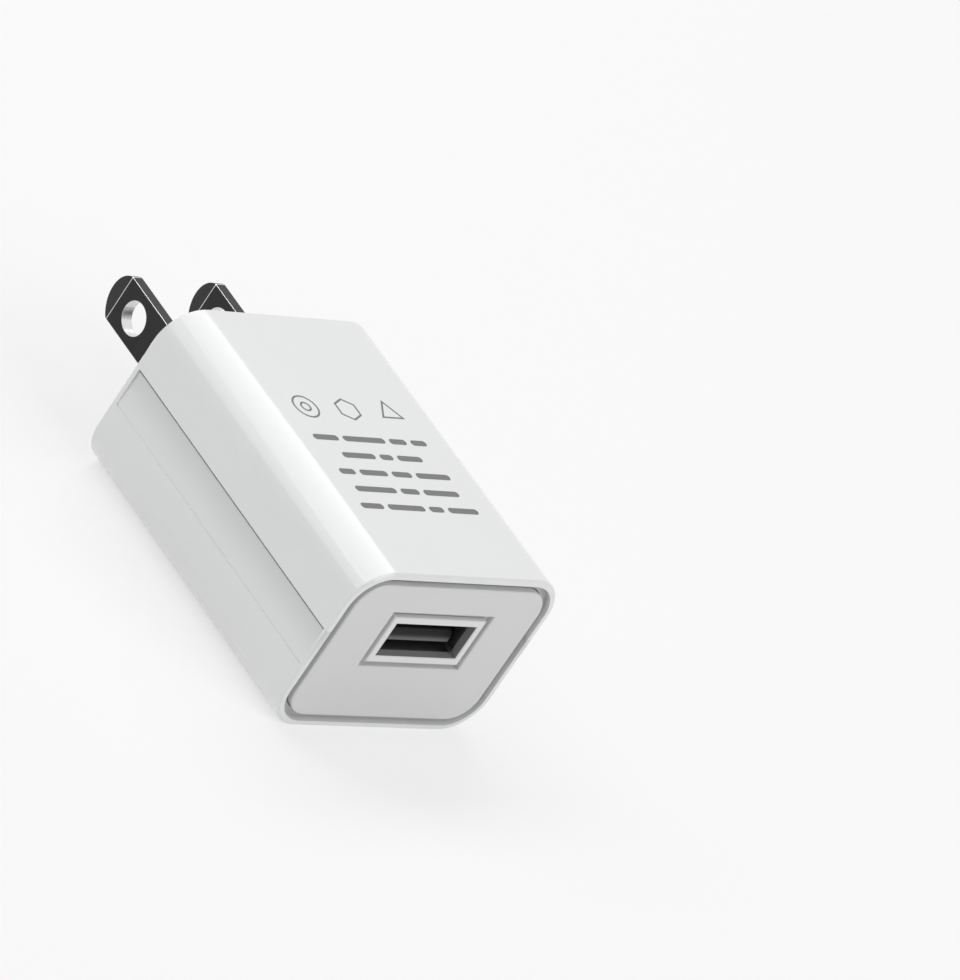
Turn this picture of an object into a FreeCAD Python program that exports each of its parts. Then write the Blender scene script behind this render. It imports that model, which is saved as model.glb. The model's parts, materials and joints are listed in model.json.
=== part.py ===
import FreeCAD, Part
import math
import os
import re
import Sketcher

# USB wall charger with two fixed flat blades, in millimetres.
# X runs across the body, seen from the socket end. Y runs from the socket end to the blade tips.
# Z is up, from the broad face that it rests on. The origin is under the middle of the whole length.

SIZES = {
    # Moulded sleeve, the tube that holds everything
    "body_width": 31.5,
    "body_height": 22.5,
    "body_length": 42.6,
    "corner_radius": 5.0,
    "wall": 1.6,
    "edge_softening": 0.25,
    "rim_width": 0.8,
    "rim_groove_depth": 0.9,
    "band_height": 5.25,
    "band_socket_gap": 0.45,
    "band_blade_gap": 0.8,
    "band_depth_above": 0.25,
    "band_depth_below": 0.12,
    "band_line_width": 0.35,
    "band_line_depth": 0.55,
    # End plates, which sit inside the sleeve's wall
    "plate_fit": 0.08,
    "plate_edge": 0.12,
    "end_plate": 1.8,
    "base_plate": 2.0,
    "skirt_wall": 1.2,
    "skirt_depth": 1.5,
    "catch_width": 6.0,
    "catch_height": 0.3,
    "catch_length": 0.6,
    # Blades
    "blade_spacing": 12.7,
    "blade_width": 6.35,
    "blade_thickness": 1.5,
    "blade_reach": 16.6,
    "blade_bevel": 2.1,
    "blade_tip_thickness": 0.7,
    "blade_edge_chamfer": 0.15,
    "blade_hole_radius": 1.98,
    "blade_hole_reach": 11.1,
    "blade_fit": 0.03,
    "tail_width": 4.0,
    "tail_reach": 1.9,
    "boss_depth": 2.0,
    "boss_wall": 1.4,
    "boss_floor": 0.9,
    # Socket opening in the end plate, and the collar that stands in it
    "port_lift": 1.78,
    "window_width": 15.3,
    "window_height": 7.9,
    "window_groove_depth": 0.7,
    "collar_width": 13.95,
    "collar_height": 6.55,
    "collar_fit": 0.07,
    "collar_edge": 0.1,
    "collar_flange_reach": 1.0,
    "collar_flange_thickness": 0.9,
    "mouth_width": 12.2,
    "mouth_height": 4.7,
    "mouth_depth": 1.1,
    # Receptacle
    "socket_width": 12.5,
    "socket_height": 5.12,
    "socket_length": 14.0,
    "socket_corner": 0.5,
    "socket_sheet": 0.3,
    "socket_leg_length": 2.0,
    "socket_leg_place": 9.0,
    "spring_spacing": 5.6,
    "spring_width": 1.8,
    "spring_length": 5.0,
    "spring_place": 5.2,
    "spring_dip": 0.3,
    "spring_slot": 0.35,
    "tongue_width": 11.1,
    "tongue_thickness": 1.84,
    "tongue_setback": 0.75,
    "tongue_gap": 0.62,
    "tongue_lead": 0.45,
    "tongue_lip": 0.8,
    "block_length": 3.0,
    "block_fit": 0.04,
    "contact_width": 1.0,
    "contact_sheet": 0.25,
    "contact_slot_side": 0.1,
    "contact_slot_depth": 1.0,
    "contact_crown": 0.35,
    "contact_crown_place": 3.6,
    "contact_crown_run": 1.1,
    "contact_inner_place": 1.0,
    "contact_outer_place": 3.5,
    # Circuit board and the rails that hold it
    "board_thickness": 1.6,
    "board_play": 0.15,
    "rail_reach": 1.0,
    "rail_thickness": 0.9,
    "rail_play": 0.05,
    "hole_clearance": 0.1,
    "leg_stub": 0.7,
    "leg_diameter": 0.6,
    # Transformer
    "transformer_gap": 0.3,
    "transformer_stand": 0.7,
    "core_width": 13.0,
    "core_depth": 6.15,
    "core_half": 6.0,
    "core_back": 1.4,
    "centre_leg": 2.75,
    "bobbin_wall": 0.7,
    "bobbin_fit": 0.1,
    "flange_thickness": 0.8,
    "flange_span": 12.8,
    "winding_build": 2.2,
    "winding_corner": 1.6,
    "tape_thickness": 0.12,
    "winding_fit": 0.03,
    "pin_spacing": 2.5,
    "pin_diameter": 0.6,
    "pin_seat": 1.6,
    # Wound and canned parts under the board
    "input_gap": 0.25,
    "input_along": 31.8,
    "input_diameter": 6.3,
    "input_length": 12.0,
    "input_leg_pitch": 2.5,
    "output_along": 9.2,
    "output_diameter": 5.0,
    "output_length": 11.0,
    "output_leg_pitch": 2.0,
    "supply_along": 21.0,
    "supply_diameter": 5.0,
    "supply_length": 11.0,
    "supply_leg_pitch": 2.0,
    "can_crimp": 0.35,
    "can_crimp_place": 1.6,
    "can_edge": 0.4,
    "choke_gap": 0.5,
    "choke_diameter": 5.0,
    "choke_waist": 4.4,
    "choke_length": 7.5,
    "choke_flange": 1.0,
    "choke_leg_pitch": 2.5,
    "fuse_gap": 0.2,
    "fuse_diameter": 3.0,
    "fuse_length": 6.6,
    "fuse_leg_pitch": 8.6,
    "fuse_drop": 2.0,
    "disc_along": 21.5,
    "disc_diameter": 7.0,
    "disc_thickness": 3.4,
    "disc_drop": 1.2,
    "disc_leg_pitch": 5.0,
    "disc_edge": 0.9,
    # Leads from the blades to the board
    "lead_diameter": 0.9,
    "lead_bend": 1.2,
    "lead_side_reach": 0.7,
    "lead_run": 2.2,
    "lead_fit": 0.04,
    # Flat parts on the board's upper side
    "chip_width": 3.9,
    "chip_length": 4.9,
    "chip_height": 1.45,
    "chip_along": 26.6,
    "chip_inset": 2.8,
    "chip_pitch": 1.27,
    "gull_width": 0.4,
    "gull_reach": 1.05,
    "gull_sheet": 0.2,
    "bridge_width": 3.9,
    "bridge_length": 4.7,
    "bridge_height": 2.3,
    "bridge_along": 27.2,
    "bridge_inset": 2.8,
    "bridge_pitch": 2.5,
    "diode_width": 3.6,
    "diode_length": 4.3,
    "diode_height": 2.2,
    "diode_along": 19.4,
    "diode_inset": 5.75,
    "diode_tab": 0.5,
    "small_chip_length": 2.0,
    "small_chip_width": 1.25,
    "small_resistor_height": 0.5,
    "small_capacitor_height": 0.9,
    "small_chip_spacing": 2.6,
    "small_resistor_row": 8.0,
    "small_capacitor_row": 12.5,
}

# Places worked out from the sizes, which the formulas below use by name
PLACES = {
    "socket_face": "-(body_length + blade_reach) / 2",
    "blade_face": "socket_face + body_length",
    "middle": "body_height / 2",
    "cavity_width": "body_width - 2 * wall",
    "cavity_height": "body_height - 2 * wall",
    "cavity_radius": "corner_radius - wall",
    "port_level": "middle + port_lift",
    "socket_outer_width": "socket_width + 2 * socket_sheet",
    "socket_outer_height": "socket_height + 2 * socket_sheet",
    "socket_mouth": "socket_face + mouth_depth",
    "tongue_base": "tongue_gap - socket_height / 2",
    "tongue_face": "tongue_base + tongue_thickness",
    "contact_floor": "tongue_face - contact_slot_depth",
    "block_start": "socket_length - block_length",
    "board_under": "port_level + socket_outer_height / 2",
    "board_top": "board_under + board_thickness",
    "board_width": "cavity_width - 2 * board_play",
    "board_start": "socket_face + end_plate + skirt_depth + board_play",
    "board_end": "blade_face - base_plate - skirt_depth - board_play",
    "leg_rise": "board_thickness + leg_stub",
    "tail_end": "base_plate + boss_depth + tail_reach",
    "tail_hole": "base_plate + boss_depth + tail_reach / 2",
    "rail_start": "end_plate + skirt_depth",
    "rail_length": "body_length - end_plate - base_plate - 2 * skirt_depth",
    "window_span": "(core_width - centre_leg) / 2 - core_back",
    "window_height_in_core": "2 * (core_half - core_back)",
    "tube_width": "centre_leg + 2 * bobbin_wall",
    "tube_depth": "core_depth + 2 * bobbin_wall",
    "winding_width": "tube_width + 2 * winding_build",
    "winding_depth": "tube_depth + 2 * winding_build",
    "bobbin_top": "-(transformer_stand + core_back + bobbin_fit / 2)",
    "bobbin_length": "window_height_in_core - bobbin_fit",
    "flange_width": "core_width - 2 * core_back - bobbin_fit",
    "pin_row": "(flange_span + core_depth) / 2",
    "transformer_along": "mouth_depth + socket_length + transformer_gap + flange_span / 2",
    "fuse_along": "transformer_along + flange_span / 2 + fuse_gap + fuse_diameter / 2",
    "choke_along": "fuse_along + fuse_diameter / 2 + choke_gap + choke_diameter / 2",
    "rail_edge": "cavity_width / 2 - rail_reach",
    "input_across": "rail_edge - input_gap - input_diameter / 2",
    "output_across": "(socket_outer_width / 2 + rail_edge) / 2",
    "supply_across": "(core_width / 2 + rail_edge) / 2",
    "disc_across": "supply_across",
    "chip_across": "board_width / 2 - chip_inset - gull_reach - chip_width / 2",
    "bridge_across": "board_width / 2 - bridge_inset - gull_reach - bridge_width / 2",
    "diode_across": "board_width / 2 - diode_inset - diode_tab - diode_length / 2",
}

CONTACTS = {
    "contact_power": "-contact_outer_place",
    "contact_data_minus": "-contact_inner_place",
    "contact_data_plus": "contact_inner_place",
    "contact_ground": "contact_outer_place",
}

# Canned capacitors: place across, place along, and the kind whose sizes they have
CANS = {
    "input_capacitor_left": ("-input_across", "input_along", "input"),
    "input_capacitor_right": ("input_across", "input_along", "input"),
    "output_capacitor_left": ("-output_across", "output_along", "output"),
    "output_capacitor_right": ("output_across", "output_along", "output"),
    "supply_capacitor": ("-supply_across", "supply_along", "supply"),
}

SIDES = ("-", "")
PIN_COUNT = 4
CHIP_LEG_COUNT = 4
BRIDGE_LEG_COUNT = 2
RESISTOR_COUNT = 7
CAPACITOR_COUNT = 5
# Wires this thin, and the holes for them, have few sides
WIRE_SIDES = 8

FULL_TURN = 360
CLOSE = 1e-6
ORIGIN = -1
START = 1
END = 2
CENTRE = 3
ALONG_X = FreeCAD.Rotation(FreeCAD.Vector(0, 1, 0), 90)

doc = FreeCAD.newDocument("usb_wall_charger")
sheet = doc.addObject("Spreadsheet::Sheet", "Sizes")
for row, (alias, size) in enumerate(SIZES.items(), 1):
    sheet.set("A%d" % row, alias.replace("_", " "))
    sheet.set("B%d" % row, str(size))
    sheet.setAlias("B%d" % row, alias)
doc.recompute()


def formula(text):
    """Spell out the named places in a formula and point its sizes at the sheet."""
    def word(match):
        name = match.group(0)
        if name in PLACES:
            return "(" + formula(PLACES[name]) + ")"
        if name in SIZES:
            return "Sizes." + name
        return name
    return re.sub(r"[a-z][a-z_]*", word, str(text))


def number(text):
    """What a formula comes to, as a plain number."""
    return float(sheet.evalExpression(formula(text)))


def bind(target, **formulas):
    """Bind properties of an object to formulas."""
    for name, text in formulas.items():
        target.setExpression(name, formula(text))


def place(target, x="0", y="0", z="0"):
    """Bind an object's place to formulas."""
    for axis, text in (("x", x), ("y", y), ("z", z)):
        target.setExpression("Placement.Base." + axis, formula(text))


def name_it(target, label):
    target.Label = label
    return target


def spread(count, spacing):
    """Places of a number of like things, evenly spaced about the middle."""
    return ["%s * (%s)" % (index - (count - 1) / 2, spacing) for index in range(count)]


# Helpers for sketched bodies

def new_body(label, x="0", y="0", z="0"):
    body = doc.addObject("PartDesign::Body", label)
    body.Label = label
    place(body, x, y, z)
    return body


def new_sketch(body, name, plane, across="0", up="0", out="0"):
    """A sketch on one of the body's own planes, shifted in that plane and along its normal."""
    sketch = body.newObject("Sketcher::SketchObject", name)
    support = [item for item in body.Origin.OriginFeatures if item.Role == plane][0]
    sketch.AttachmentSupport = (support, [""])
    sketch.MapMode = "FlatFace"
    for axis, text in (("x", across), ("y", up), ("z", out)):
        sketch.setExpression("AttachmentOffset.Base." + axis, formula(text))
    return sketch


def limit(sketch, name, text, kind, *where):
    """Add one dimension to a sketch and bind it to a formula."""
    index = sketch.addConstraint(Sketcher.Constraint(kind, *where, number(text)))
    sketch.renameConstraint(index, name)
    sketch.setExpression("Constraints." + name, formula(text))


def polygon(body, name, plane, corners, closed=True, **shift):
    """A sketch of straight lines through corners, each given by two formulas."""
    sketch = new_sketch(body, name, plane, **shift)
    points = [FreeCAD.Vector(number(u), number(v), 0) for u, v in corners]
    last = len(points) if closed else len(points) - 1
    for index in range(last):
        sketch.addGeometry(Part.LineSegment(points[index], points[(index + 1) % len(points)]))
    for index in range(last if closed else last - 1):
        following = (index + 1) % last
        sketch.addConstraint(Sketcher.Constraint("Coincident", index, END, following, START))
    for index, (u, v) in enumerate(corners):
        line, end = (index, START) if index < last else (index - 1, END)
        limit(sketch, "across%d" % index, u, "DistanceX", ORIGIN, START, line, end)
        limit(sketch, "up%d" % index, v, "DistanceY", ORIGIN, START, line, end)
    return sketch


def rectangle(body, name, plane, width, height, **shift):
    """A sharp-cornered rectangle about the sketch's origin."""
    half_width = "(%s) / 2" % width
    half_height = "(%s) / 2" % height
    corners = [("-" + half_width, "-" + half_height), (half_width, "-" + half_height),
               (half_width, half_height), ("-" + half_width, half_height)]
    return polygon(body, name, plane, corners, **shift)


def rounded(body, name, plane, width, height, radius, **shift):
    """A rectangle with round corners about the sketch's origin."""
    sketch = new_sketch(body, name, plane, **shift)
    half_width = number(width) / 2
    half_height = number(height) / 2
    bend = number(radius)
    side = half_width - bend
    top = half_height - bend
    vector = FreeCAD.Vector
    lines = [(vector(-side, -half_height), vector(side, -half_height)),
             (vector(half_width, -top), vector(half_width, top)),
             (vector(side, half_height), vector(-side, half_height)),
             (vector(-half_width, top), vector(-half_width, -top))]
    centres = [vector(side, -top), vector(side, top), vector(-side, top), vector(-side, -top)]
    for corner in range(4):
        sketch.addGeometry(Part.LineSegment(*lines[corner]))
        circle = Part.Circle(centres[corner], vector(0, 0, 1), bend)
        start = (corner - 1) * math.pi / 2
        sketch.addGeometry(Part.ArcOfCircle(circle, start, start + math.pi / 2))
    for corner in range(4):
        line = 2 * corner
        arc = line + 1
        next_line = (line + 2) % 8
        sketch.addConstraint(Sketcher.Constraint("Tangent", line, END, arc, START))
        sketch.addConstraint(Sketcher.Constraint("Tangent", arc, END, next_line, START))
    for line in (0, 4):
        sketch.addConstraint(Sketcher.Constraint("Horizontal", line))
    for line in (2, 6):
        sketch.addConstraint(Sketcher.Constraint("Vertical", line))
    for arc in (3, 5, 7):
        sketch.addConstraint(Sketcher.Constraint("Equal", 1, arc))
    sketch.addConstraint(Sketcher.Constraint("Symmetric", 1, CENTRE, 5, CENTRE, ORIGIN, START))
    limit(sketch, "width", width, "DistanceX", 6, START, 2, START)
    limit(sketch, "height", height, "DistanceY", 0, START, 4, START)
    limit(sketch, "radius", radius, "Radius", 1)
    return sketch


def circles(body, name, plane, places, radius, **shift):
    """A sketch of equal circles, each centre given by two formulas."""
    sketch = new_sketch(body, name, plane, **shift)
    for index, (u, v) in enumerate(places):
        centre = FreeCAD.Vector(number(u), number(v), 0)
        sketch.addGeometry(Part.Circle(centre, FreeCAD.Vector(0, 0, 1), number(radius)))
        limit(sketch, "across%d" % index, u, "DistanceX", ORIGIN, START, index, CENTRE)
        limit(sketch, "up%d" % index, v, "DistanceY", ORIGIN, START, index, CENTRE)
        limit(sketch, "radius%d" % index, radius, "Radius", index)
    return sketch


def wire_section(body, name, plane, across, up, diameter, **shift):
    """The many-sided outline of a thin wire, or of the hole for one."""
    corners = []
    for index in range(WIRE_SIDES):
        turn = "%s" % (index * FULL_TURN / WIRE_SIDES)
        corners.append(("(%s) + (%s) / 2 * cos(%s deg)" % (across, diameter, turn),
                        "(%s) + (%s) / 2 * sin(%s deg)" % (up, diameter, turn)))
    return polygon(body, name, plane, corners, **shift)


def feature(body, kind, sketch, length=None, backwards=False, midplane=False):
    """Pad or pocket a sketch. A pocket with no length goes right through."""
    item = body.newObject("PartDesign::" + kind, sketch.Name + "_" + kind.lower())
    item.Profile = sketch
    item.Reversed = backwards
    item.Midplane = midplane
    if length is None:
        item.Type = "ThroughAll"
    else:
        bind(item, Length=length)
    sketch.Visibility = False
    doc.recompute()
    return item


def pad(body, sketch, length, **how):
    return feature(body, "Pad", sketch, length, **how)


def pocket(body, sketch, length=None, **how):
    return feature(body, "Pocket", sketch, length, **how)


def dress(body, kind, wanted, size):
    """Fillet or chamfer the edges of the body's last feature that a test picks."""
    base = body.Tip
    edges = ["Edge%d" % index for index, edge in enumerate(base.Shape.Edges, 1) if wanted(edge)]
    item = body.newObject("PartDesign::" + kind, kind.lower())
    item.Base = (base, edges)
    if kind == "Fillet":
        bind(item, Radius=size)
    else:
        bind(item, Size=size)
    doc.recompute()
    return item


def runs_along(edge, axis):
    """Whether an edge is straight and parallel to an axis."""
    if not isinstance(edge.Curve, Part.Line):
        return False
    return abs(abs(edge.Curve.Direction.dot(axis)) - 1) < CLOSE


def in_face(edge):
    """Whether an edge lies in the outer face of an end plate or collar."""
    return abs(edge.BoundBox.YMin) < CLOSE and abs(edge.BoundBox.YMax) < CLOSE


# Helpers for parts made of primitives

def block(sizes, centre):
    """A box from three sizes, about a centre."""
    box = doc.addObject("Part::Box", "block")
    bind(box, Length=sizes[0], Width=sizes[1], Height=sizes[2])
    place(box, *["(%s) - (%s) / 2" % pair for pair in zip(centre, sizes)])
    return box


def rod(diameter, length, start, turn=None):
    """A round bar that starts at a place and runs up, or along the axis that it is turned to."""
    bar = doc.addObject("Part::Cylinder", "rod")
    bind(bar, Radius="(%s) / 2" % diameter, Height=length)
    if turn is not None:
        bar.Placement = FreeCAD.Placement(FreeCAD.Vector(), turn)
    place(bar, *start)
    return bar


def wire(diameter, length, start, turn=None):
    """A thin straight wire, or the tool that drills for one."""
    prism = doc.addObject("Part::Prism", "wire")
    prism.Polygon = WIRE_SIDES
    bind(prism, Circumradius="(%s) / 2" % diameter, Height=length)
    if turn is not None:
        prism.Placement = FreeCAD.Placement(FreeCAD.Vector(), turn)
    place(prism, *start)
    return prism


def fuse(label, pieces):
    joined = doc.addObject("Part::MultiFuse", label)
    joined.Shapes = pieces
    joined.Refine = True
    return name_it(joined, label)


def cut(label, base, tools):
    away = tools[0]
    if len(tools) > 1:
        away = doc.addObject("Part::MultiFuse", label + "_cutters")
        away.Shapes = tools
    result = doc.addObject("Part::Cut", label)
    result.Base = base
    result.Tool = away
    return name_it(result, label)


def group(label, pieces):
    """Like pieces kept as separate solids in one node."""
    together = doc.addObject("Part::Compound", label)
    together.Links = pieces
    return name_it(together, label)


# Sleeve and end plates

def make_sleeve():
    """The moulded tube, with a shallow band along each side and rails for the board."""
    sleeve = new_body("sleeve", y="socket_face", z="middle")
    pad(sleeve, rounded(sleeve, "sleeve_outline", "XZ_Plane", "body_width", "body_height",
                        "corner_radius"), "body_length", backwards=True)
    length = number("body_length")

    def at_an_end(edge):
        along = edge.CenterOfMass.y
        return min(abs(along), abs(along - length)) < CLOSE
    dress(sleeve, "Chamfer", at_an_end, "edge_softening")
    pocket(sleeve, rounded(sleeve, "cavity", "XZ_Plane", "cavity_width", "cavity_height",
                           "cavity_radius"))
    pocket(sleeve, rounded(sleeve, "rim_groove", "XZ_Plane", "body_width - 2 * rim_width",
                           "body_height - 2 * rim_width", "corner_radius - rim_width"),
           "rim_groove_depth")
    for side in SIDES:
        band = polygon(sleeve, "band", "XZ_Plane", band_outline(side), out="-band_socket_gap")
        pocket(sleeve, band, "body_length - band_socket_gap - band_blade_gap")
    level = "board_under - middle"
    low = level + " - rail_play - rail_thickness / 2"
    high = level + " + board_thickness + rail_play + rail_thickness / 2"
    for side in SIDES:
        for height in (low, high):
            rail = rectangle(sleeve, "rail", "XZ_Plane", "rail_reach + wall / 2", "rail_thickness",
                             across=side + "(cavity_width / 2 - rail_reach / 2 + wall / 4)",
                             up=height, out="-(rail_start)")
            pad(sleeve, rail, "rail_length", backwards=True)
    for along in ("end_plate + skirt_depth / 2", "body_length - base_plate - skirt_depth / 2"):
        recess = rectangle(sleeve, "catch_recess", "YZ_Plane", "catch_length + plate_fit",
                           "cavity_height + 2 * catch_height", across=along)
        pocket(sleeve, recess, "catch_width + 2 * plate_fit", midplane=True)
    return sleeve


def band_outline(side):
    """The band's section: it deepens upwards, and ends above in a fine line."""
    face = side + "body_width / 2"
    outside = side + "(body_width / 2 + wall)"
    below = side + "(body_width / 2 - band_depth_below)"
    above = side + "(body_width / 2 - band_depth_above)"
    line = side + "(body_width / 2 - band_line_depth)"
    low = "-band_height / 2"
    high = "band_height / 2"
    line_low = "band_height / 2 - band_line_width"
    return [(outside, low), (below, low), (above, line_low), (line, line_low), (line, high),
            (outside, high)]


def end_blank(label, y, thickness, inwards, opposite):
    """A plate with a skirt that both plugs the sleeve's end and catches in its recesses."""
    body = new_body(label, y=y, z="middle")
    width = "cavity_width - 2 * plate_fit"
    height = "cavity_height - 2 * plate_fit"
    radius = "cavity_radius - plate_fit"
    depth = "%s + skirt_depth" % thickness
    pad(body, rounded(body, label + "_outline", "XZ_Plane", width, height, radius), depth,
        backwards=inwards)
    sign = "-" if inwards else ""
    hollow = rounded(body, label + "_hollow", "XZ_Plane", width + " - 2 * skirt_wall",
                     height + " - 2 * skirt_wall", radius + " - skirt_wall",
                     out="%s(%s)" % (sign, depth))
    pocket(body, hollow, "skirt_depth", backwards=opposite)
    along = "%s(%s + skirt_depth / 2)" % ("" if inwards else "-", thickness)
    for side in SIDES:
        catch = rectangle(body, label + "_catch", "YZ_Plane", "catch_length - plate_fit",
                          "catch_height + skirt_wall / 2", across=along,
                          up=side + "(cavity_height / 2 - plate_fit + catch_height / 2 - skirt_wall / 4)")
        pad(body, catch, "catch_width", midplane=True)
    return body


def make_end_cover():
    """The socket end's plate: its window has a ledge, which makes the groove round the collar."""
    cover = end_blank("socket_end_cover", "socket_face", "end_plate", True, True)
    lift = {"up": "port_lift"}
    pocket(cover, rectangle(cover, "window", "XZ_Plane", "window_width", "window_height", **lift),
           "window_groove_depth")
    dress(cover, "Chamfer", in_face, "plate_edge")
    pocket(cover, rectangle(cover, "collar_way", "XZ_Plane", "collar_width + 2 * collar_fit",
                            "collar_height + 2 * collar_fit", **lift), "end_plate")
    return cover


def make_collar():
    """The ring flush in the window, which centres the metal receptacle behind its mouth."""
    collar = new_body("port_collar", y="socket_face", z="port_level")
    depth = "end_plate + collar_flange_thickness"
    pad(collar, rectangle(collar, "collar_ring", "XZ_Plane", "collar_width", "collar_height"),
        depth, backwards=True)
    pad(collar, rectangle(collar, "collar_flange", "XZ_Plane",
                          "collar_width + 2 * collar_flange_reach",
                          "collar_height + 2 * collar_flange_reach", out="-(end_plate)"),
        "collar_flange_thickness", backwards=True)
    pocket(collar, rectangle(collar, "mouth", "XZ_Plane", "mouth_width", "mouth_height"))
    pocket(collar, rounded(collar, "socket_seat", "XZ_Plane", "socket_outer_width + 2 * block_fit",
                           "socket_outer_height + 2 * block_fit",
                           "socket_corner + socket_sheet", out="-(mouth_depth)"))
    dress(collar, "Chamfer", in_face, "collar_edge")
    return collar


def make_blade_base():
    """The blade end's plate, with a boss round each blade's root."""
    base = end_blank("blade_base", "blade_face", "base_plate", False, False)
    for side in SIDES:
        across = side + "blade_spacing / 2"
        pad(base, rounded(base, "boss", "XZ_Plane", "blade_thickness + 2 * boss_wall",
                          "blade_width + 2 * boss_wall", "boss_wall / 2", across=across,
                          out="base_plate / 2"), "base_plate / 2 + boss_depth")
        slot = rectangle(base, "blade_slot", "XZ_Plane", "blade_thickness + 2 * blade_fit",
                         "blade_width + 2 * blade_fit", across=across)
        pocket(base, slot, "base_plate + boss_depth - boss_floor", backwards=True)
        tail = rectangle(base, "tail_slot", "XZ_Plane", "blade_thickness + 2 * blade_fit",
                         "tail_width + 2 * blade_fit", across=across)
        pocket(base, tail, backwards=True)
    return base


def make_blade(label, side):
    """A flat blade: round coined tip, hole, broken edges, and a narrow tail for its lead."""
    blade = new_body(label, x=side + "blade_spacing / 2", y="blade_face", z="middle")
    half = "blade_width / 2"
    shoulder = "-(base_plate + boss_depth - boss_floor)"
    crease = "blade_reach - blade_bevel"
    tip_radius = "((blade_width / 2) ^ 2 + blade_bevel ^ 2) / (2 * blade_bevel)"
    sketch = new_sketch(blade, "blade_outline", "YZ_Plane")
    low = FreeCAD.Vector(number(shoulder), -number(half), 0)
    low_end = FreeCAD.Vector(number(crease), -number(half), 0)
    high = FreeCAD.Vector(number(shoulder), number(half), 0)
    high_end = FreeCAD.Vector(number(crease), number(half), 0)
    tip = FreeCAD.Vector(number("blade_reach"), 0, 0)
    sketch.addGeometry(Part.LineSegment(low, low_end))
    sketch.addGeometry(Part.Arc(low_end, tip, high_end))
    sketch.addGeometry(Part.LineSegment(high_end, high))
    sketch.addGeometry(Part.LineSegment(high, low))
    for index in range(4):
        following = (index + 1) % 4
        sketch.addConstraint(Sketcher.Constraint("Coincident", index, END, following, START))
    for name, line, end, along, up in (("low_root", 0, START, shoulder, "-" + half),
                                       ("low_crease", 0, END, crease, "-" + half),
                                       ("high_crease", 2, START, crease, half),
                                       ("high_root", 2, END, shoulder, half)):
        limit(sketch, name + "_along", along, "DistanceX", ORIGIN, START, line, end)
        limit(sketch, name + "_up", up, "DistanceY", ORIGIN, START, line, end)
    limit(sketch, "tip_radius", tip_radius, "Radius", 1)
    pad(blade, sketch, "blade_thickness", midplane=True)
    dress(blade, "Chamfer", lambda edge: runs_along(edge, FreeCAD.Vector(0, 1, 0)),
          "blade_edge_chamfer")
    tail = rectangle(blade, "tail", "YZ_Plane", "tail_end + base_plate / 2", "tail_width",
                     across="-(tail_end) + (tail_end + base_plate / 2) / 2")
    pad(blade, tail, "blade_thickness", midplane=True)
    pocket(blade, circles(blade, "blade_hole", "YZ_Plane", [("blade_hole_reach", "0")],
                          "blade_hole_radius"), midplane=True)
    pocket(blade, circles(blade, "lead_hole", "YZ_Plane", [("-(tail_hole)", "0")],
                          "lead_diameter / 2 + lead_fit"), midplane=True)
    flat = "blade_thickness / 2"
    thin = "blade_tip_thickness / 2"
    for face in SIDES:
        wedge = [(face + flat, crease), (face + "blade_thickness", crease),
                 (face + "blade_thickness", "blade_reach"), (face + thin, "blade_reach")]
        pocket(blade, polygon(blade, "tip_bevel", "XY_Plane", wedge), midplane=True)
    return blade


# Receptacle

def make_socket_shell():
    """The folded steel shell, with two pressed springs above and two below, and solder legs."""
    shell = new_body("receptacle_shell", y="socket_mouth", z="port_level")
    pad(shell, rounded(shell, "shell_outline", "XZ_Plane", "socket_outer_width",
                       "socket_outer_height", "socket_corner + socket_sheet"),
        "socket_length", backwards=True)
    pocket(shell, rounded(shell, "shell_inside", "XZ_Plane", "socket_width", "socket_height",
                          "socket_corner"))
    for side in SIDES:
        leg = rectangle(shell, "shell_leg", "YZ_Plane", "socket_leg_length",
                        "socket_outer_height / 2 + leg_rise", across="socket_leg_place",
                        up="(socket_outer_height / 2 + leg_rise) / 2",
                        out=side + "(socket_width + socket_sheet) / 2")
        pad(shell, leg, "socket_sheet", midplane=True)
        window = rectangle(shell, "spring_window", "XY_Plane", "spring_width + 2 * spring_slot",
                           "spring_length + spring_slot", across=side + "spring_spacing / 2",
                           up="spring_place - spring_slot / 2")
        pocket(shell, window, midplane=True)
    inside = "socket_height / 2"
    outside = "socket_outer_height / 2"
    root = "spring_place + spring_length / 2"
    heel = "spring_place + spring_length / 4"
    low = "spring_place - spring_length / 4"
    toe = "spring_place - spring_length / 2"
    for level in ("-", ""):
        leaf = [(root, level + inside), (root, level + outside), (heel, level + outside),
                (low, level + "(socket_outer_height / 2 - spring_dip)"),
                (toe, level + "(socket_outer_height / 2 - spring_dip / 4)"),
                (toe, level + "(socket_height / 2 - spring_dip / 4)"),
                (low, level + "(socket_height / 2 - spring_dip)"), (heel, level + inside)]
        for side in SIDES:
            sketch = polygon(shell, "spring_leaf", "YZ_Plane", leaf,
                             out=side + "spring_spacing / 2")
            pad(shell, sketch, "spring_width", midplane=True)
    return shell


def make_tongue():
    """The moulded tongue with a slot for each contact, and the block that closes the shell."""
    tongue = new_body("receptacle_tongue", y="socket_mouth", z="port_level")
    front = "tongue_setback"
    low = "tongue_base"
    high = "tongue_face"
    side = [(front, low + " + tongue_lead"), (front + " + tongue_lead", low), ("socket_length", low),
            ("socket_length", high), (front + " + tongue_lead", high),
            (front, high + " - tongue_lead")]
    pad(tongue, polygon(tongue, "tongue_side", "YZ_Plane", side), "tongue_width", midplane=True)
    pad(tongue, rounded(tongue, "block", "XZ_Plane", "socket_width - 2 * block_fit",
                        "socket_height - 2 * block_fit", "socket_corner", out="-(block_start)"),
        "block_length", backwards=True)
    for across in CONTACTS.values():
        slot = rectangle(tongue, "contact_slot", "XZ_Plane", "contact_width + 2 * contact_slot_side",
                         "contact_slot_depth", across=across,
                         up="tongue_face - contact_slot_depth / 2",
                         out="-(tongue_setback + tongue_lip)")
        pocket(tongue, slot)
    return tongue


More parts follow.
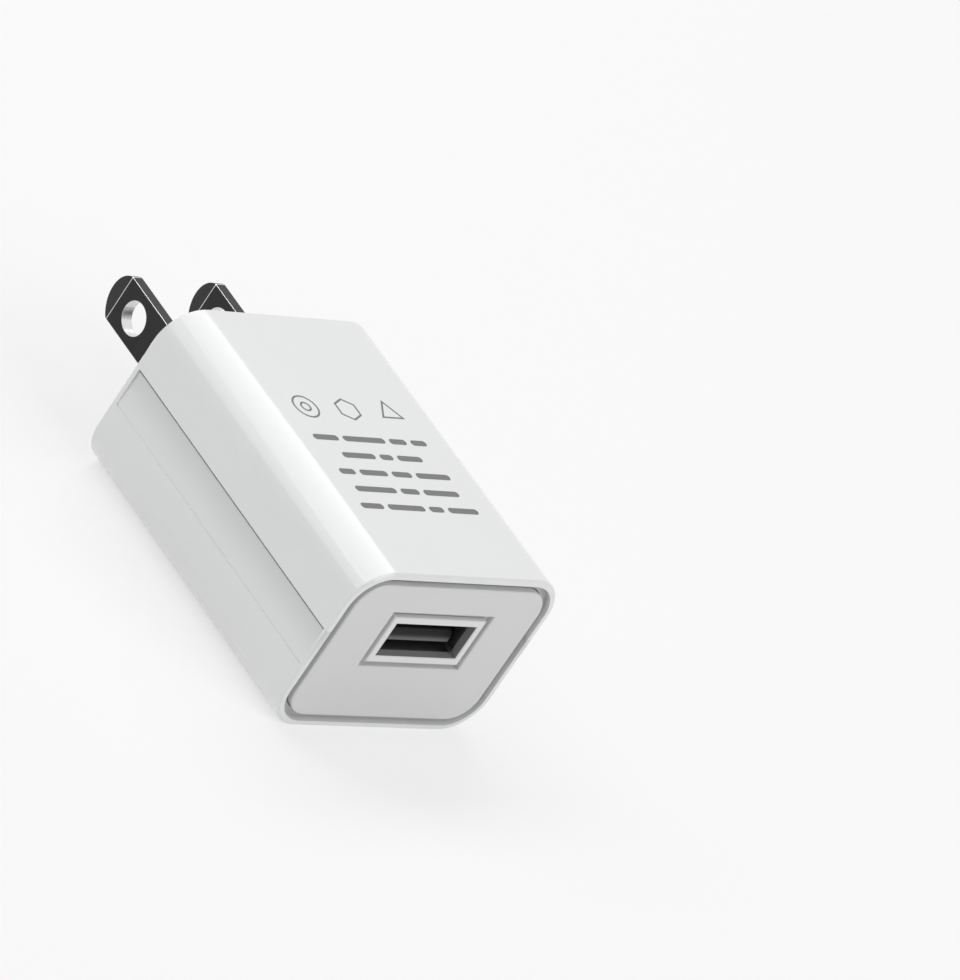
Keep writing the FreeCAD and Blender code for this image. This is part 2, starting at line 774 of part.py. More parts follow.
def make_contact(label, across):
    """A spring contact: its crown stands proud of the tongue, its tail turns up to the board."""
    contact = new_body(label, x=across, y="socket_mouth", z="port_level")
    floor = "contact_floor"
    sheet_top = "contact_floor + contact_sheet"
    crown = "tongue_face + contact_crown"
    start = "tongue_setback + tongue_lip + contact_slot_side"
    first = "contact_crown_place - contact_crown_run"
    last = "contact_crown_place + contact_crown_run"
    flat = "contact_crown_run / 3"
    tail = "socket_length + contact_sheet"
    inner_tail = "socket_length"
    top = "socket_outer_height / 2 + leg_rise"
    side = [(start, floor), (first, floor),
            ("contact_crown_place - " + flat, crown + " - contact_sheet"),
            ("contact_crown_place + " + flat, crown + " - contact_sheet"),
            (last + " + contact_crown_run", floor), (tail, floor), (tail, top), (inner_tail, top),
            (inner_tail, sheet_top), (last + " + contact_crown_run", sheet_top),
            ("contact_crown_place + " + flat, crown), ("contact_crown_place - " + flat, crown),
            (first, sheet_top), (start, sheet_top)]
    pad(contact, polygon(contact, label + "_side", "YZ_Plane", side), "contact_width",
        midplane=True)
    return contact


# Transformer

def make_core(label, lower):
    """One E-shaped ferrite half, whose three legs meet the other half's."""
    shift = "core_half" if lower else "0"
    centre_z = "board_under - transformer_stand - core_half / 2 - %s" % shift
    along = "socket_face + transformer_along"
    solid = block(("core_width", "core_depth", "core_half"), ("0", along, centre_z))
    leg = "core_half - core_back"
    move = "core_back / 2" if lower else "-core_back / 2"
    windows = []
    for side in SIDES:
        middle = side + "(centre_leg + window_span) / 2"
        windows.append(block(("window_span", "core_depth", leg),
                             (middle, along, centre_z + " + " + move)))
    return cut(label, solid, windows)


def make_bobbin():
    """The coil former: a tube on the centre leg, two flanges, and rails for the pins."""
    bobbin = new_body("transformer_bobbin", y="socket_face + transformer_along", z="board_under")
    pad(bobbin, rectangle(bobbin, "former", "XY_Plane", "tube_width", "tube_depth",
                          out="bobbin_top - bobbin_length"), "bobbin_length")
    for level in ("bobbin_top - flange_thickness", "bobbin_top - bobbin_length"):
        pad(bobbin, rounded(bobbin, "flange", "XY_Plane", "flange_width", "flange_span",
                            "bobbin_wall", out=level), "flange_thickness")
    for side in SIDES:
        rail = rectangle(bobbin, "pin_rail", "XY_Plane", "flange_width",
                         "(flange_span - core_depth) / 2 - bobbin_fit",
                         up=side + "(flange_span + core_depth + 2 * bobbin_fit) / 4",
                         out="bobbin_top - flange_thickness")
        pad(bobbin, rail, "flange_thickness - (bobbin_top)")
    pocket(bobbin, rectangle(bobbin, "core_way", "XY_Plane", "centre_leg + bobbin_fit",
                             "core_depth + bobbin_fit"), midplane=True)
    for across, along in PIN_PLACES:
        pocket(bobbin, wire_section(bobbin, "pin_seat", "XY_Plane", across, along,
                                    "pin_diameter + block_fit"), "pin_seat")
    return bobbin


def make_winding():
    winding = new_body("transformer_winding", y="socket_face + transformer_along", z="board_under")
    length = "bobbin_length - 2 * (flange_thickness + winding_fit)"
    start = "bobbin_top - bobbin_length + flange_thickness + winding_fit"
    pad(winding, rounded(winding, "turns", "XY_Plane", "winding_width", "winding_depth",
                         "winding_corner", out=start), length)
    pocket(winding, rectangle(winding, "former_way", "XY_Plane", "tube_width + 2 * winding_fit",
                              "tube_depth + 2 * winding_fit"), midplane=True)
    return winding


def make_tape():
    tape = new_body("winding_tape", y="socket_face + transformer_along", z="board_under")
    length = "bobbin_length - 2 * (flange_thickness + 2 * winding_fit)"
    start = "bobbin_top - bobbin_length + flange_thickness + 2 * winding_fit"
    lap = "2 * (tape_thickness + winding_fit)"
    pad(tape, rounded(tape, "tape_outside", "XY_Plane", "winding_width + " + lap,
                      "winding_depth + " + lap,
                      "winding_corner + tape_thickness + winding_fit", out=start), length)
    pocket(tape, rounded(tape, "tape_inside", "XY_Plane", "winding_width + 2 * winding_fit",
                         "winding_depth + 2 * winding_fit", "winding_corner + winding_fit"),
           midplane=True)
    return tape


PIN_PLACES = [(across, side + "(pin_row) / 2")
              for side in SIDES for across in spread(PIN_COUNT, "pin_spacing")]


def make_pins():
    pins = []
    for across, along in PIN_PLACES:
        start = (across, "socket_face + transformer_along + " + along,
                 "board_under - pin_seat + block_fit")
        pins.append(wire("pin_diameter", "pin_seat - block_fit + leg_rise", start))
    return group("transformer_pins", pins)


# Parts with wire legs, which hang under the board

def make_can(label, across, along, kind):
    """An electrolytic capacitor: crimped can, bung face on the board, two legs through it."""
    can = new_body(label, x=across, y="socket_face + " + along, z="board_under")
    radius = kind + "_diameter / 2"
    length = kind + "_length"
    side = [("0", "0"), (radius, "0"), (radius, "-(can_crimp_place - can_crimp)"),
            (radius + " - can_crimp", "-can_crimp_place"),
            (radius, "-(can_crimp_place + can_crimp)"), (radius, "-(%s - can_edge)" % length),
            (radius + " - can_edge", "-" + length), ("0", "-" + length)]
    turn_about(can, polygon(can, label + "_side", "XZ_Plane", side))
    add_legs(can, kind, "can_edge")
    return can


def leg_places(kind):
    """How far each of a part's two legs stands to the side of its middle."""
    return [side + kind + "_leg_pitch / 2" for side in SIDES]


def add_legs(body, kind, root):
    """Two wire legs that start inside a part and run up through the board."""
    for across in leg_places(kind):
        pad(body, wire_section(body, kind + "_leg", "XY_Plane", across, "0", "leg_diameter",
                               out="-" + root), root + " + leg_rise")


def turn_about(body, sketch):
    """Revolve a profile once about its upright axis."""
    turned = body.newObject("PartDesign::Revolution", sketch.Name + "_turned")
    turned.Profile = sketch
    turned.ReferenceAxis = (sketch, ["V_Axis"])
    turned.Angle = FULL_TURN
    sketch.Visibility = False
    doc.recompute()
    return turned


def make_choke():
    choke = new_body("filter_choke", y="socket_face + choke_along", z="board_under")
    radius = "choke_diameter / 2"
    waist = "choke_waist / 2"
    side = [("0", "0"), (radius, "0"), (radius, "-choke_flange"), (waist, "-choke_flange"),
            (waist, "-(choke_length - choke_flange)"), (radius, "-(choke_length - choke_flange)"),
            (radius, "-choke_length"), ("0", "-choke_length")]
    turn_about(choke, polygon(choke, "choke_side", "XZ_Plane", side))
    add_legs(choke, "choke", "choke_flange")
    return choke


def make_fuse():
    """The fusible resistor lies under the board, and its wires turn up into it."""
    along = "socket_face + fuse_along"
    level = "board_under - fuse_drop"
    pieces = [rod("fuse_diameter", "fuse_length", ("-fuse_length / 2", along, level), ALONG_X),
              wire("leg_diameter", "fuse_leg_pitch", ("-fuse_leg_pitch / 2", along, level), ALONG_X)]
    for across in leg_places("fuse"):
        pieces.append(wire("leg_diameter", "leg_diameter / 2 + fuse_drop + leg_rise",
                           (across, along, level + " - leg_diameter / 2")))
    return fuse("fusible_resistor", pieces)


def make_disc():
    """The safety capacitor, a dipped disc that stands on its two legs."""
    along = "socket_face + disc_along"
    level = "board_under - disc_drop - disc_diameter / 2"
    disc = rod("disc_diameter", "disc_thickness - 2 * disc_edge",
               ("disc_across - disc_thickness / 2 + disc_edge", along, level), ALONG_X)
    pieces = [disc]
    for side in SIDES:
        cone = doc.addObject("Part::Cone", "dipped_side")
        bind(cone, Radius1="disc_diameter / 2", Radius2="disc_diameter / 2 - disc_edge",
             Height="disc_edge")
        turn = -90 if side else 90
        cone.Placement = FreeCAD.Placement(FreeCAD.Vector(), FreeCAD.Rotation(FreeCAD.Vector(0, 1, 0), turn))
        place(cone, "disc_across + %s(disc_thickness / 2 - disc_edge)" % side, along, level)
        pieces.append(cone)
    for along_leg in leg_places("disc"):
        pieces.append(wire("leg_diameter", "disc_drop + disc_diameter / 2 + leg_rise",
                           ("disc_across", along + " + " + along_leg, level)))
    return fuse("safety_capacitor", pieces)


def make_lead(label, side):
    """A stiff wire through the hole in a blade's tail, bent up into the board."""
    lead = new_body(label, x=side + "blade_spacing / 2", y="blade_face - (tail_hole)", z="middle")
    inwards = "" if side == "-" else "-"
    outer = "-(%s(blade_thickness / 2 + lead_side_reach))" % inwards
    turn = "%slead_run" % inwards
    top = "board_under + leg_rise - middle"
    path = new_sketch(lead, label + "_path", "XZ_Plane")
    start = FreeCAD.Vector(number(outer), 0, 0)
    corner = FreeCAD.Vector(number(turn), 0, 0)
    end = FreeCAD.Vector(number(turn), number(top), 0)
    bend = number("lead_bend")
    across = math.copysign(bend, corner.x)
    first = corner - FreeCAD.Vector(across, 0, 0)
    last = corner + FreeCAD.Vector(0, bend, 0)
    centre = first + FreeCAD.Vector(0, bend, 0)
    halfway = centre + (corner - centre).normalize() * bend
    path.addGeometry(Part.LineSegment(start, first))
    path.addGeometry(Part.Arc(first, halfway, last))
    path.addGeometry(Part.LineSegment(last, end))
    arc_ends = (START, END) if across > 0 else (END, START)
    path.addConstraint(Sketcher.Constraint("Tangent", 0, END, 1, arc_ends[0]))
    path.addConstraint(Sketcher.Constraint("Tangent", 1, arc_ends[1], 2, START))
    path.addConstraint(Sketcher.Constraint("Horizontal", 0))
    path.addConstraint(Sketcher.Constraint("Vertical", 2))
    limit(path, "start_across", outer, "DistanceX", ORIGIN, START, 0, START)
    limit(path, "start_up", "0", "DistanceY", ORIGIN, START, 0, START)
    limit(path, "end_across", turn, "DistanceX", ORIGIN, START, 2, END)
    limit(path, "end_up", top, "DistanceY", ORIGIN, START, 2, END)
    limit(path, "bend", "lead_bend", "Radius", 1)
    section = wire_section(lead, label + "_section", "YZ_Plane", "0", "0", "lead_diameter",
                           out=outer)
    pipe = lead.newObject("PartDesign::AdditivePipe", label + "_pipe")
    pipe.Profile = section
    pipe.Spine = (path, [])
    doc.recompute()
    return lead


# Flat parts on the upper side of the board

def gull_legs(centre_x, centre_y, half_body, height, rows):
    """Bent legs along both sides of a chip: a foot on the board and a riser at the body."""
    legs = []
    for side in SIDES:
        for row in rows:
            along = centre_y + " + " + row
            foot = "%s + %s(%s + gull_reach / 2)" % (centre_x, side, half_body)
            riser = "%s + %s(%s + gull_sheet / 2)" % (centre_x, side, half_body)
            legs.append(block(("gull_reach", "gull_width", "gull_sheet"),
                              (foot, along, "board_top + gull_sheet / 2")))
            legs.append(block(("gull_sheet", "gull_width", height + " / 2"),
                              (riser, along, "board_top + %s / 4" % height)))
    return legs


def make_chip():
    along = "socket_face + chip_along"
    centre = ("-chip_across", along, "board_top + chip_height / 2")
    pieces = [block(("chip_width", "chip_length", "chip_height"), centre)]
    pieces += gull_legs("-chip_across", along, "chip_width / 2", "chip_height",
                        spread(CHIP_LEG_COUNT, "chip_pitch"))
    return fuse("controller_chip", pieces)


def make_bridge():
    along = "socket_face + bridge_along"
    centre = ("bridge_across", along, "board_top + bridge_height / 2")
    pieces = [block(("bridge_width", "bridge_length", "bridge_height"), centre)]
    pieces += gull_legs("bridge_across", along, "bridge_width / 2", "bridge_height",
                        spread(BRIDGE_LEG_COUNT, "bridge_pitch"))
    return fuse("bridge_rectifier", pieces)


def make_diode():
    along = "socket_face + diode_along"
    centre = ("-diode_across", along, "board_top + diode_height / 2")
    pieces = [block(("diode_length", "diode_width", "diode_height"), centre)]
    for side in SIDES:
        across = "-diode_across + %s(diode_length + diode_tab) / 2" % side
        pieces.append(block(("diode_tab", "diode_width / 2", "diode_height / 2"),
                            (across, along, "board_top + diode_height / 4")))
    return fuse("output_diode", pieces)


def make_small_chips(label, height, row, count):
    chips = []
    for across in spread(count, "small_chip_spacing"):
        chips.append(block(("small_chip_width", "small_chip_length", height),
                           (across, "socket_face + " + row, "board_top + (%s) / 2" % height)))
    return group(label, chips)


# Circuit board

def make_board():
    """The board, drilled for every leg from the same places as the legs themselves."""
    middle = "(board_start + board_end) / 2"
    board = block(("board_width", "board_end - (board_start)", "board_thickness"),
                  ("0", middle, "board_under + board_thickness / 2"))
    round_holes = []
    for across, along, kind in CANS.values():
        for leg in leg_places(kind):
            round_holes.append((across + " + " + leg, along, "leg_diameter"))
    for kind in ("choke", "fuse"):
        for leg in leg_places(kind):
            round_holes.append((leg, kind + "_along", "leg_diameter"))
    for leg in leg_places("disc"):
        round_holes.append(("disc_across", "disc_along + " + leg, "leg_diameter"))
    for side in SIDES:
        inner = side + "(blade_spacing / 2 - lead_run)"
        round_holes.append((inner, "body_length - (tail_hole)", "lead_diameter"))
    for across, along in PIN_PLACES:
        round_holes.append((across, "transformer_along + " + along, "pin_diameter"))
    cutters = []
    for across, along, diameter in round_holes:
        start = (across, "socket_face + " + along, "board_under - leg_stub")
        cutters.append(wire(diameter + " + 2 * hole_clearance", "board_thickness + 2 * leg_stub", start))
    slot_height = "board_thickness + 2 * leg_stub"
    centre_z = "board_under + board_thickness / 2"
    for side in SIDES:
        across = side + "(socket_width + socket_sheet) / 2"
        cutters.append(block(("socket_sheet + 2 * hole_clearance",
                              "socket_leg_length + 2 * hole_clearance", slot_height),
                             (across, "socket_mouth + socket_leg_place", centre_z)))
    for across in CONTACTS.values():
        cutters.append(block(("contact_width + 2 * hole_clearance",
                              "contact_sheet + 2 * hole_clearance", slot_height),
                             (across, "socket_mouth + socket_length + contact_sheet / 2", centre_z)))
    return cut("circuit_board", board, cutters)


nodes = [make_sleeve(), make_end_cover(), make_collar(), make_blade_base(),
         make_blade("blade_left", "-"), make_blade("blade_right", ""),
         make_socket_shell(), make_tongue()]
nodes += [make_contact(label, across) for label, across in CONTACTS.items()]
nodes += [make_core("transformer_core_upper", False), make_core("transformer_core_lower", True),
          make_bobbin(), make_winding(), make_tape(), make_pins()]
nodes += [make_can(label, *facts) for label, facts in CANS.items()]
nodes += [make_choke(), make_fuse(), make_disc(),
          make_lead("live_lead", "-"), make_lead("neutral_lead", ""),
          make_chip(), make_bridge(), make_diode(),
          make_small_chips("chip_resistors", "small_resistor_height", "small_resistor_row",
                           RESISTOR_COUNT),
          make_small_chips("chip_capacitors", "small_capacitor_height", "small_capacitor_row",
                           CAPACITOR_COUNT),
          make_board()]
doc.recompute()

for item in doc.Objects:
    for problem in ("Invalid", "Error"):
        if problem in item.State:
            raise RuntimeError("%s did not compute" % item.Label)
for node in nodes:
    if node.Shape.isNull() or not node.Shape.isValid() or node.Shape.Volume <= 0:
        raise RuntimeError("%s has no valid solid" % node.Label)

os.makedirs("parts", exist_ok=True)
for node in nodes:
    node.Shape.exportStep("parts/%s.step" % node.Label)
    print(node.Label, len(node.Shape.Solids), round(node.Shape.Volume, 3))
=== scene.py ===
"""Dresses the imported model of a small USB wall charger: finishes, printed block, studio and camera."""

import json
from math import copysign, pi, radians

import bmesh
import bpy
from bpy.props import FloatProperty, FloatVectorProperty, PointerProperty
from mathutils import Matrix, Vector


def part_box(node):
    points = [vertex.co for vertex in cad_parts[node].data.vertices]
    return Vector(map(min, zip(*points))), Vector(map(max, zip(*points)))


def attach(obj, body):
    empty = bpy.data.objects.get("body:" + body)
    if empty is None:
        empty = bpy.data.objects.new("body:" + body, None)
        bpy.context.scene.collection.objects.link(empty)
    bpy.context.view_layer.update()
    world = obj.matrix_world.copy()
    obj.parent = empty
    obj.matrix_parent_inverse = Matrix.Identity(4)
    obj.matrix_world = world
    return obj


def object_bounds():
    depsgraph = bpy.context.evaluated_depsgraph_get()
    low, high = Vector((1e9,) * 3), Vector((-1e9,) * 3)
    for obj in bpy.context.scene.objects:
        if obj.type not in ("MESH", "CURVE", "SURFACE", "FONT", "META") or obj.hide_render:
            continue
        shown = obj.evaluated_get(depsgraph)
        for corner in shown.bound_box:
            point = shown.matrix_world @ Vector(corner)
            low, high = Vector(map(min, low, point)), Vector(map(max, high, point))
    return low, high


bl_info = {
    "name": "USB Wall Charger",
    "version": (1, 0, 0),
    "blender": (4, 5, 0),
    "location": "3D View > Sidebar > Charger",
    "description": "Finishes for a moulded wall charger with flat blades, its printed block and its studio",
    "category": "Object",
}

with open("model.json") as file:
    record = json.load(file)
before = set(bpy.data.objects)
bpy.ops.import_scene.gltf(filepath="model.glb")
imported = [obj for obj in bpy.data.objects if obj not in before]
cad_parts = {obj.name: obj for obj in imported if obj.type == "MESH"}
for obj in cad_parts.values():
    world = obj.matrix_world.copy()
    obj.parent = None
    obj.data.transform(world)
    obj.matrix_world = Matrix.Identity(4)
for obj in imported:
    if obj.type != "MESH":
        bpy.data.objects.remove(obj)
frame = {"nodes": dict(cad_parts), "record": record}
NODES = frame["nodes"]
CAD_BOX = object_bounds()
BODY = "root"
MM = 0.001

# The camera's sensor across its longer side, and the nearest that it sees, in metres.
SENSOR_MM = 36
NEAREST = 0.01

WHITE = (1.0, 1.0, 1.0)
GLOSS_IOR = 1.5
DULL_IOR = 1.3
RGBA_FACTOR, RGBA_A, RGBA_B, RGBA_RESULT = 0, 6, 7, 2


def colour(name, description, default):
    """A colour setting, in linear red, green and blue."""
    return FloatVectorProperty(
        name=name, description=description, subtype="COLOR", size=3, min=0, max=1, default=default
    )


def factor(name, description, default):
    """A setting from 0 to 1."""
    return FloatProperty(name=name, description=description, subtype="FACTOR", min=0, max=1, default=default)


def millimetres(name, description, default):
    """A length given in millimetres and kept in metres."""
    return FloatProperty(name=name, description=description, unit="LENGTH", precision=6, default=default * MM)


def angle(name, description, default):
    """An angle given in degrees and kept in radians."""
    return FloatProperty(name=name, description=description, subtype="ANGLE", default=radians(default))


def watts(name, description, default):
    """The power of a lamp."""
    return FloatProperty(name=name, description=description, unit="POWER", default=default)


class PlasticSettings(bpy.types.PropertyGroup):
    """Colours and surface of the moulded case."""

    sleeve: colour("Sleeve", "Gloss white of the moulded tube", (0.845, 0.85, 0.855))
    plate: colour("Plates", "White of the two end plates", (0.70, 0.70, 0.705))
    collar: colour("Collar", "White of the ring round the socket", (0.80, 0.80, 0.805))
    gloss: factor("Roughness", "How far the moulded gloss is blurred", 0.34)
    coat: factor("Skin", "Strength of the polished skin that the mould leaves", 0.75)
    ripple_width: millimetres("Ripple width", "Width of the ripple in the polished skin", 2.6)
    ripple_depth: millimetres("Ripple depth", "Depth of the ripple in the polished skin", 0.0008)
    # Seam is painted shade: the grey blended down the grooves and edges of the socket end, deeper in, where
    # shade falls.
    seam: colour("Seam", "Grey that gathers in the bottom of a seam", (0.58, 0.58, 0.583))
    # Mouth is painted shade: the grey blended over the walls inside the ring's opening.
    mouth: colour("Mouth", "Grey of the ring's inner walls", (0.30, 0.30, 0.302))
    seam_depth: millimetres("Seam depth", "Depth of the seams in the socket end", 0.9)
    rim: millimetres("Rim", "Width of the rim round the socket end", 0.8)
    corner: millimetres("Corner", "Radius of the sleeve's long corners", 5.0)
    band: millimetres("Band", "Height of the band along each side", 5.25)
    # Band line is the width of a line of painted shade under the band's upper edge.
    band_line: millimetres("Band line", "Width of the line that ends the band above", 0.35)


class MetalSettings(bpy.types.PropertyGroup):
    """Colours of the plated, rolled and wound metals."""

    # The blade's near-black is a painted reflection of dark surroundings in the plating, not the plating's
    # own grey.
    blade: colour("Blade", "Grey of the plated blades", (0.035, 0.035, 0.0365))
    # Blade edge highlight is a painted highlight along the blade's corners, crease and hole.
    blade_edge_highlight: colour("Blade edge", "Bright metal of the blade's corners and hole", (0.72, 0.72, 0.72))
    edge_width: millimetres("Edge width", "Width of the bright line along each edge", 0.09)
    crease: millimetres("Crease", "Distance from a blade's tip to the crease of its bevel", 2.1)
    shell: colour("Shell", "Steel of the receptacle's shell", (0.30, 0.30, 0.31))
    contact: colour("Contacts", "Plating of the sprung contacts", (0.83, 0.66, 0.34))
    tin: colour("Tin", "Tin on wires and pins", (0.62, 0.62, 0.60))
    copper: colour("Copper", "Enamelled copper wire", (0.62, 0.26, 0.09))


class InsideSettings(bpy.types.PropertyGroup):
    """Colours of the pieces inside the case."""

    # Tongue is painted shade: the near-black that darkens the tongue deeper in the port and towards its top.
    # Tongue tip is the grey of its front.
    tongue: colour("Tongue", "Moulding that carries the contacts", (0.02, 0.02, 0.0215))
    tongue_tip: colour("Tongue tip", "Paler tip of the tongue, rubbed by plugs", (0.22, 0.22, 0.226))
    ferrite: colour("Ferrite", "Sintered core", (0.045, 0.045, 0.048))
    bobbin: colour("Bobbin", "Moulded bobbin", (0.022, 0.022, 0.024))
    tape: colour("Tape", "Film wrapped round the winding", (0.72, 0.50, 0.07))
    can: colour("Can sleeve", "Shrunk sleeve of the capacitor cans", (0.018, 0.02, 0.035))
    can_top: colour("Can top", "Bare aluminium of the cans", (0.72, 0.72, 0.73))
    can_stripe: colour("Can stripe", "Stripe that marks the negative side", (0.50, 0.52, 0.54))
    resistor: colour("Resistor", "Ceramic coat of the fusible resistor", (0.14, 0.27, 0.22))
    resistor_band: colour("Resistor band", "Bands painted round the resistor", (0.30, 0.11, 0.03))
    disc: colour("Disc", "Dipped coat of the safety capacitor", (0.05, 0.18, 0.50))
    resin: colour("Chip resin", "Moulded resin of the chips", (0.018, 0.018, 0.019))
    ceramic: colour("Chip ceramic", "Body of the small chips", (0.42, 0.30, 0.17))
    board: colour("Board", "Solder mask over the laminate", (0.018, 0.16, 0.06))
    track: colour("Track", "Copper track under the solder mask", (0.05, 0.29, 0.10))


class PrintSettings(bpy.types.PropertyGroup):
    """The plain printed block on the broad face."""

    ink: colour("Ink", "Grey of the printing", (0.16, 0.16, 0.164))
    ink_depth: millimetres("Ink depth", "How far the ink stands proud", 0.012)
    start: millimetres("Start", "Distance of the first row from the socket end", 11.0)
    pitch: millimetres("Pitch", "Distance from one row to the next", 2.75)
    bar: millimetres("Bar", "Height of a printed bar", 0.9)
    gap: millimetres("Gap", "Gap between two bars of a row", 0.7)
    mark: millimetres("Mark", "Height of a printed outline", 3.6)
    mark_line: millimetres("Line", "Line width of a printed outline", 0.24)


class StudioSettings(bpy.types.PropertyGroup):
    """Floor, lamps and camera."""

    floor: colour("Floor", "Plain pale floor", (0.99, 0.99, 0.99))
    ambient: factor("Ambient", "Light that reaches the object from all round", 0.42)
    strip_watts: watts("Strip", "Power of the strip behind", 3.0)
    side_watts: watts("Side", "Power of the lamp at the side", 0.5)
    fill_watts: watts("Fill", "Power of the fill in front", 2.15)
    camera_azimuth: angle("Azimuth", "Direction from which the camera looks", -52.816)
    camera_elevation: angle("Elevation", "Angle by which the camera looks down", 27.145)
    camera_roll: angle("Roll", "Turn of the camera about its own axis", 34.611)
    camera_distance: millimetres("Distance", "From the camera to the point it aims at", 928.96)
    camera_focal: FloatProperty(name="Focal length", description="In millimetres", default=309.43)
    camera_aim: FloatVectorProperty(
        name="Aim",
        description="Point that the middle of the picture shows",
        subtype="XYZ",
        unit="LENGTH",
        default=(15.218 * MM, -12.325 * MM, 20.369 * MM),
    )


class Value:
    """A shader socket. Arithmetic on it adds Math nodes."""

    def __init__(self, graph, socket):
        self.graph = graph
        self.socket = socket

    def __add__(self, other):
        return self.graph.maths("ADD", self, other)

    def __radd__(self, other):
        return self.graph.maths("ADD", other, self)

    def __sub__(self, other):
        return self.graph.maths("SUBTRACT", self, other)

    def __rsub__(self, other):
        return self.graph.maths("SUBTRACT", other, self)

    def __mul__(self, other):
        return self.graph.maths("MULTIPLY", self, other)

    def __rmul__(self, other):
        return self.graph.maths("MULTIPLY", other, self)

    def __truediv__(self, other):
        return self.graph.maths("DIVIDE", self, other)

    def __lt__(self, other):
        return self.graph.maths("LESS_THAN", self, other)

    def __gt__(self, other):
        return self.graph.maths("GREATER_THAN", self, other)

    def __or__(self, other):
        return self.graph.maths("MAXIMUM", self, other)

    def __and__(self, other):
        return self.graph.maths("MINIMUM", self, other)

    def __abs__(self):
        return self.graph.maths("ABSOLUTE", self)


class Graph:
    """A node tree in the making."""

    def __init__(self, tree):
        self.tree = tree
        self.tree.nodes.clear()

    def node(self, kind, settings=None, inputs=None, output=0):
        """Adds a node, makes its settings, fills its sockets, and returns one of its outputs."""
        node = self.tree.nodes.new(kind)
        for name, value in (settings or {}).items():
            setattr(node, name, value)
        for name, value in (inputs or {}).items():
            self.fill(node.inputs[name], value)
        return Value(self, node.outputs[output]) if node.outputs else None

    def fill(self, socket, value):
        """Links a value to a socket, or sets the socket's own number or colour."""
        if isinstance(value, Value):
            self.tree.links.new(value.socket, socket)
        elif socket.type == "RGBA":
            socket.default_value = (*value, 1.0)
        else:
            socket.default_value = value

    def maths(self, operation, *values):
        """One Math node on up to three values."""
        return self.node("ShaderNodeMath", {"operation": operation}, dict(enumerate(values)))

    def ease(self, value, low, high):
        """0 below low and 1 above high, with an eased slope between."""
        return self.node(
            "ShaderNodeMapRange",
            {"interpolation_type": "SMOOTHSTEP"},
            {"Value": value, "From Min": low, "From Max": high},
        )

    def blend(self, share, first, second):
        """The first colour where share is 0, the second where it is 1."""
        return self.node(
            "ShaderNodeMix",
            {"data_type": "RGBA"},
            {RGBA_FACTOR: share, RGBA_A: first, RGBA_B: second},
            RGBA_RESULT,
        )


def tinted(base, share):
    """A colour made darker, or brighter, by a share."""
    return tuple(min(1.0, channel * share) for channel in base)


class Finish(Graph):
    """A material, with the place on the piece in millimetres."""

    def __init__(self, name, constants=None):
        self.material = bpy.data.materials.new(name)
        self.material.use_nodes = True
        super().__init__(self.material.node_tree)
        self.shader = self.tree.nodes.new("ShaderNodeBsdfPrincipled")
        output = self.tree.nodes.new("ShaderNodeOutputMaterial")
        self.tree.links.new(self.shader.outputs["BSDF"], output.inputs["Surface"])
        for socket, value in (constants or {}).items():
            self.fill(self.shader.inputs[socket], value)
        position = self.node("ShaderNodeTexCoord", output="Object")
        self.place = self.node(
            "ShaderNodeVectorMath", {"operation": "SCALE"}, {0: position, "Scale": 1 / MM}
        )

    def axes(self):
        """The place's X, Y and Z, in millimetres."""
        split = self.node("ShaderNodeSeparateXYZ", inputs={0: self.place})
        node = split.socket.node
        return [Value(self, node.outputs[axis]) for axis in "XYZ"]

    def noise(self, size, detail=2.0, stretch=(1.0, 1.0, 1.0)):
        """Noise whose features are about size millimetres across, drawn out by stretch."""
        scaled = self.node(
            "ShaderNodeVectorMath",
            {"operation": "MULTIPLY"},
            {0: self.place, 1: tuple(1 / (size * length) for length in stretch)},
        )
        return self.node("ShaderNodeTexNoise", inputs={"Vector": scaled, "Scale": 1.0, "Detail": detail})

    def mottled(self, share, base, dark, pale):
        """A colour that wanders from a darker tint of itself to a paler one."""
        return self.blend(share, tinted(base, dark), tinted(base, pale))

    def set(self, socket, value):
        """Gives one of the shader's sockets its value."""
        self.fill(self.shader.inputs[socket], value)

    def bump(self, height, depth):
        """Lets a height from 0 to 1 raise the surface by depth, in metres."""
        normal = self.node("ShaderNodeBump", inputs={"Height": height, "Distance": depth})
        self.set("Normal", normal)


def dress(finish, *names):
    """Gives a finish to the material slots of CAD nodes."""
    for name in names:
        for slot in NODES[name].material_slots:
            slot.material = finish.material


def middle(name):
    """The middle of a CAD node's box, in millimetres."""
    low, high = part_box(name)
    return (low + high) / 2 / MM


def half_size(name):
    """Half of a CAD node's box, in millimetres."""
    low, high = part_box(name)
    return (high - low) / 2 / MM


# How far below an end face the painted shade of a seam begins, in millimetres.
SHADE_START = 0.1


def sleeve_painted_shade(finish, settings):
    """Painted shade on the sleeve: down the groove inside its rim, over the band, darker towards its top, and
    in the line above the band.
    """
    across, along, up = finish.axes()
    centre, half = middle("sleeve"), half_size("sleeve")
    radius, rim = settings.corner / MM, settings.rim / MM
    lift = up - centre.z
    from_end = along - (centre.y - half.y)
    corner_x = (abs(across) - (half.x - radius)) | 0.0
    corner_z = (abs(lift) - (half.z - radius)) | 0.0
    from_corner = finish.maths("SQRT", corner_x * corner_x + corner_z * corner_z)
    inside_rim = from_corner < radius - rim / 2
    groove = finish.ease(from_end, SHADE_START, settings.seam_depth / MM) & inside_rim
    half_band, line = settings.band / MM / 2, settings.band_line / MM
    least_sink, darkest_shade = 0.08, 0.45
    sunk = (abs(across) < half.x - least_sink) & (abs(lift) < half_band)
    # Painted shade over the sunk band, darker towards its top, under its overhanging edge.
    band = finish.ease(lift, -half_band, 1.1 * half_band) * darkest_shade & sunk
    # Painted shade in a line under the band's upper edge.
    in_slot = (abs(across) < half.x - line) & (abs(lift - (half_band - line / 2)) < line)
    slot = in_slot & (from_end > rim / 2)
    return ((band, tinted(settings.sleeve, 0.6)), (groove | slot, settings.seam))


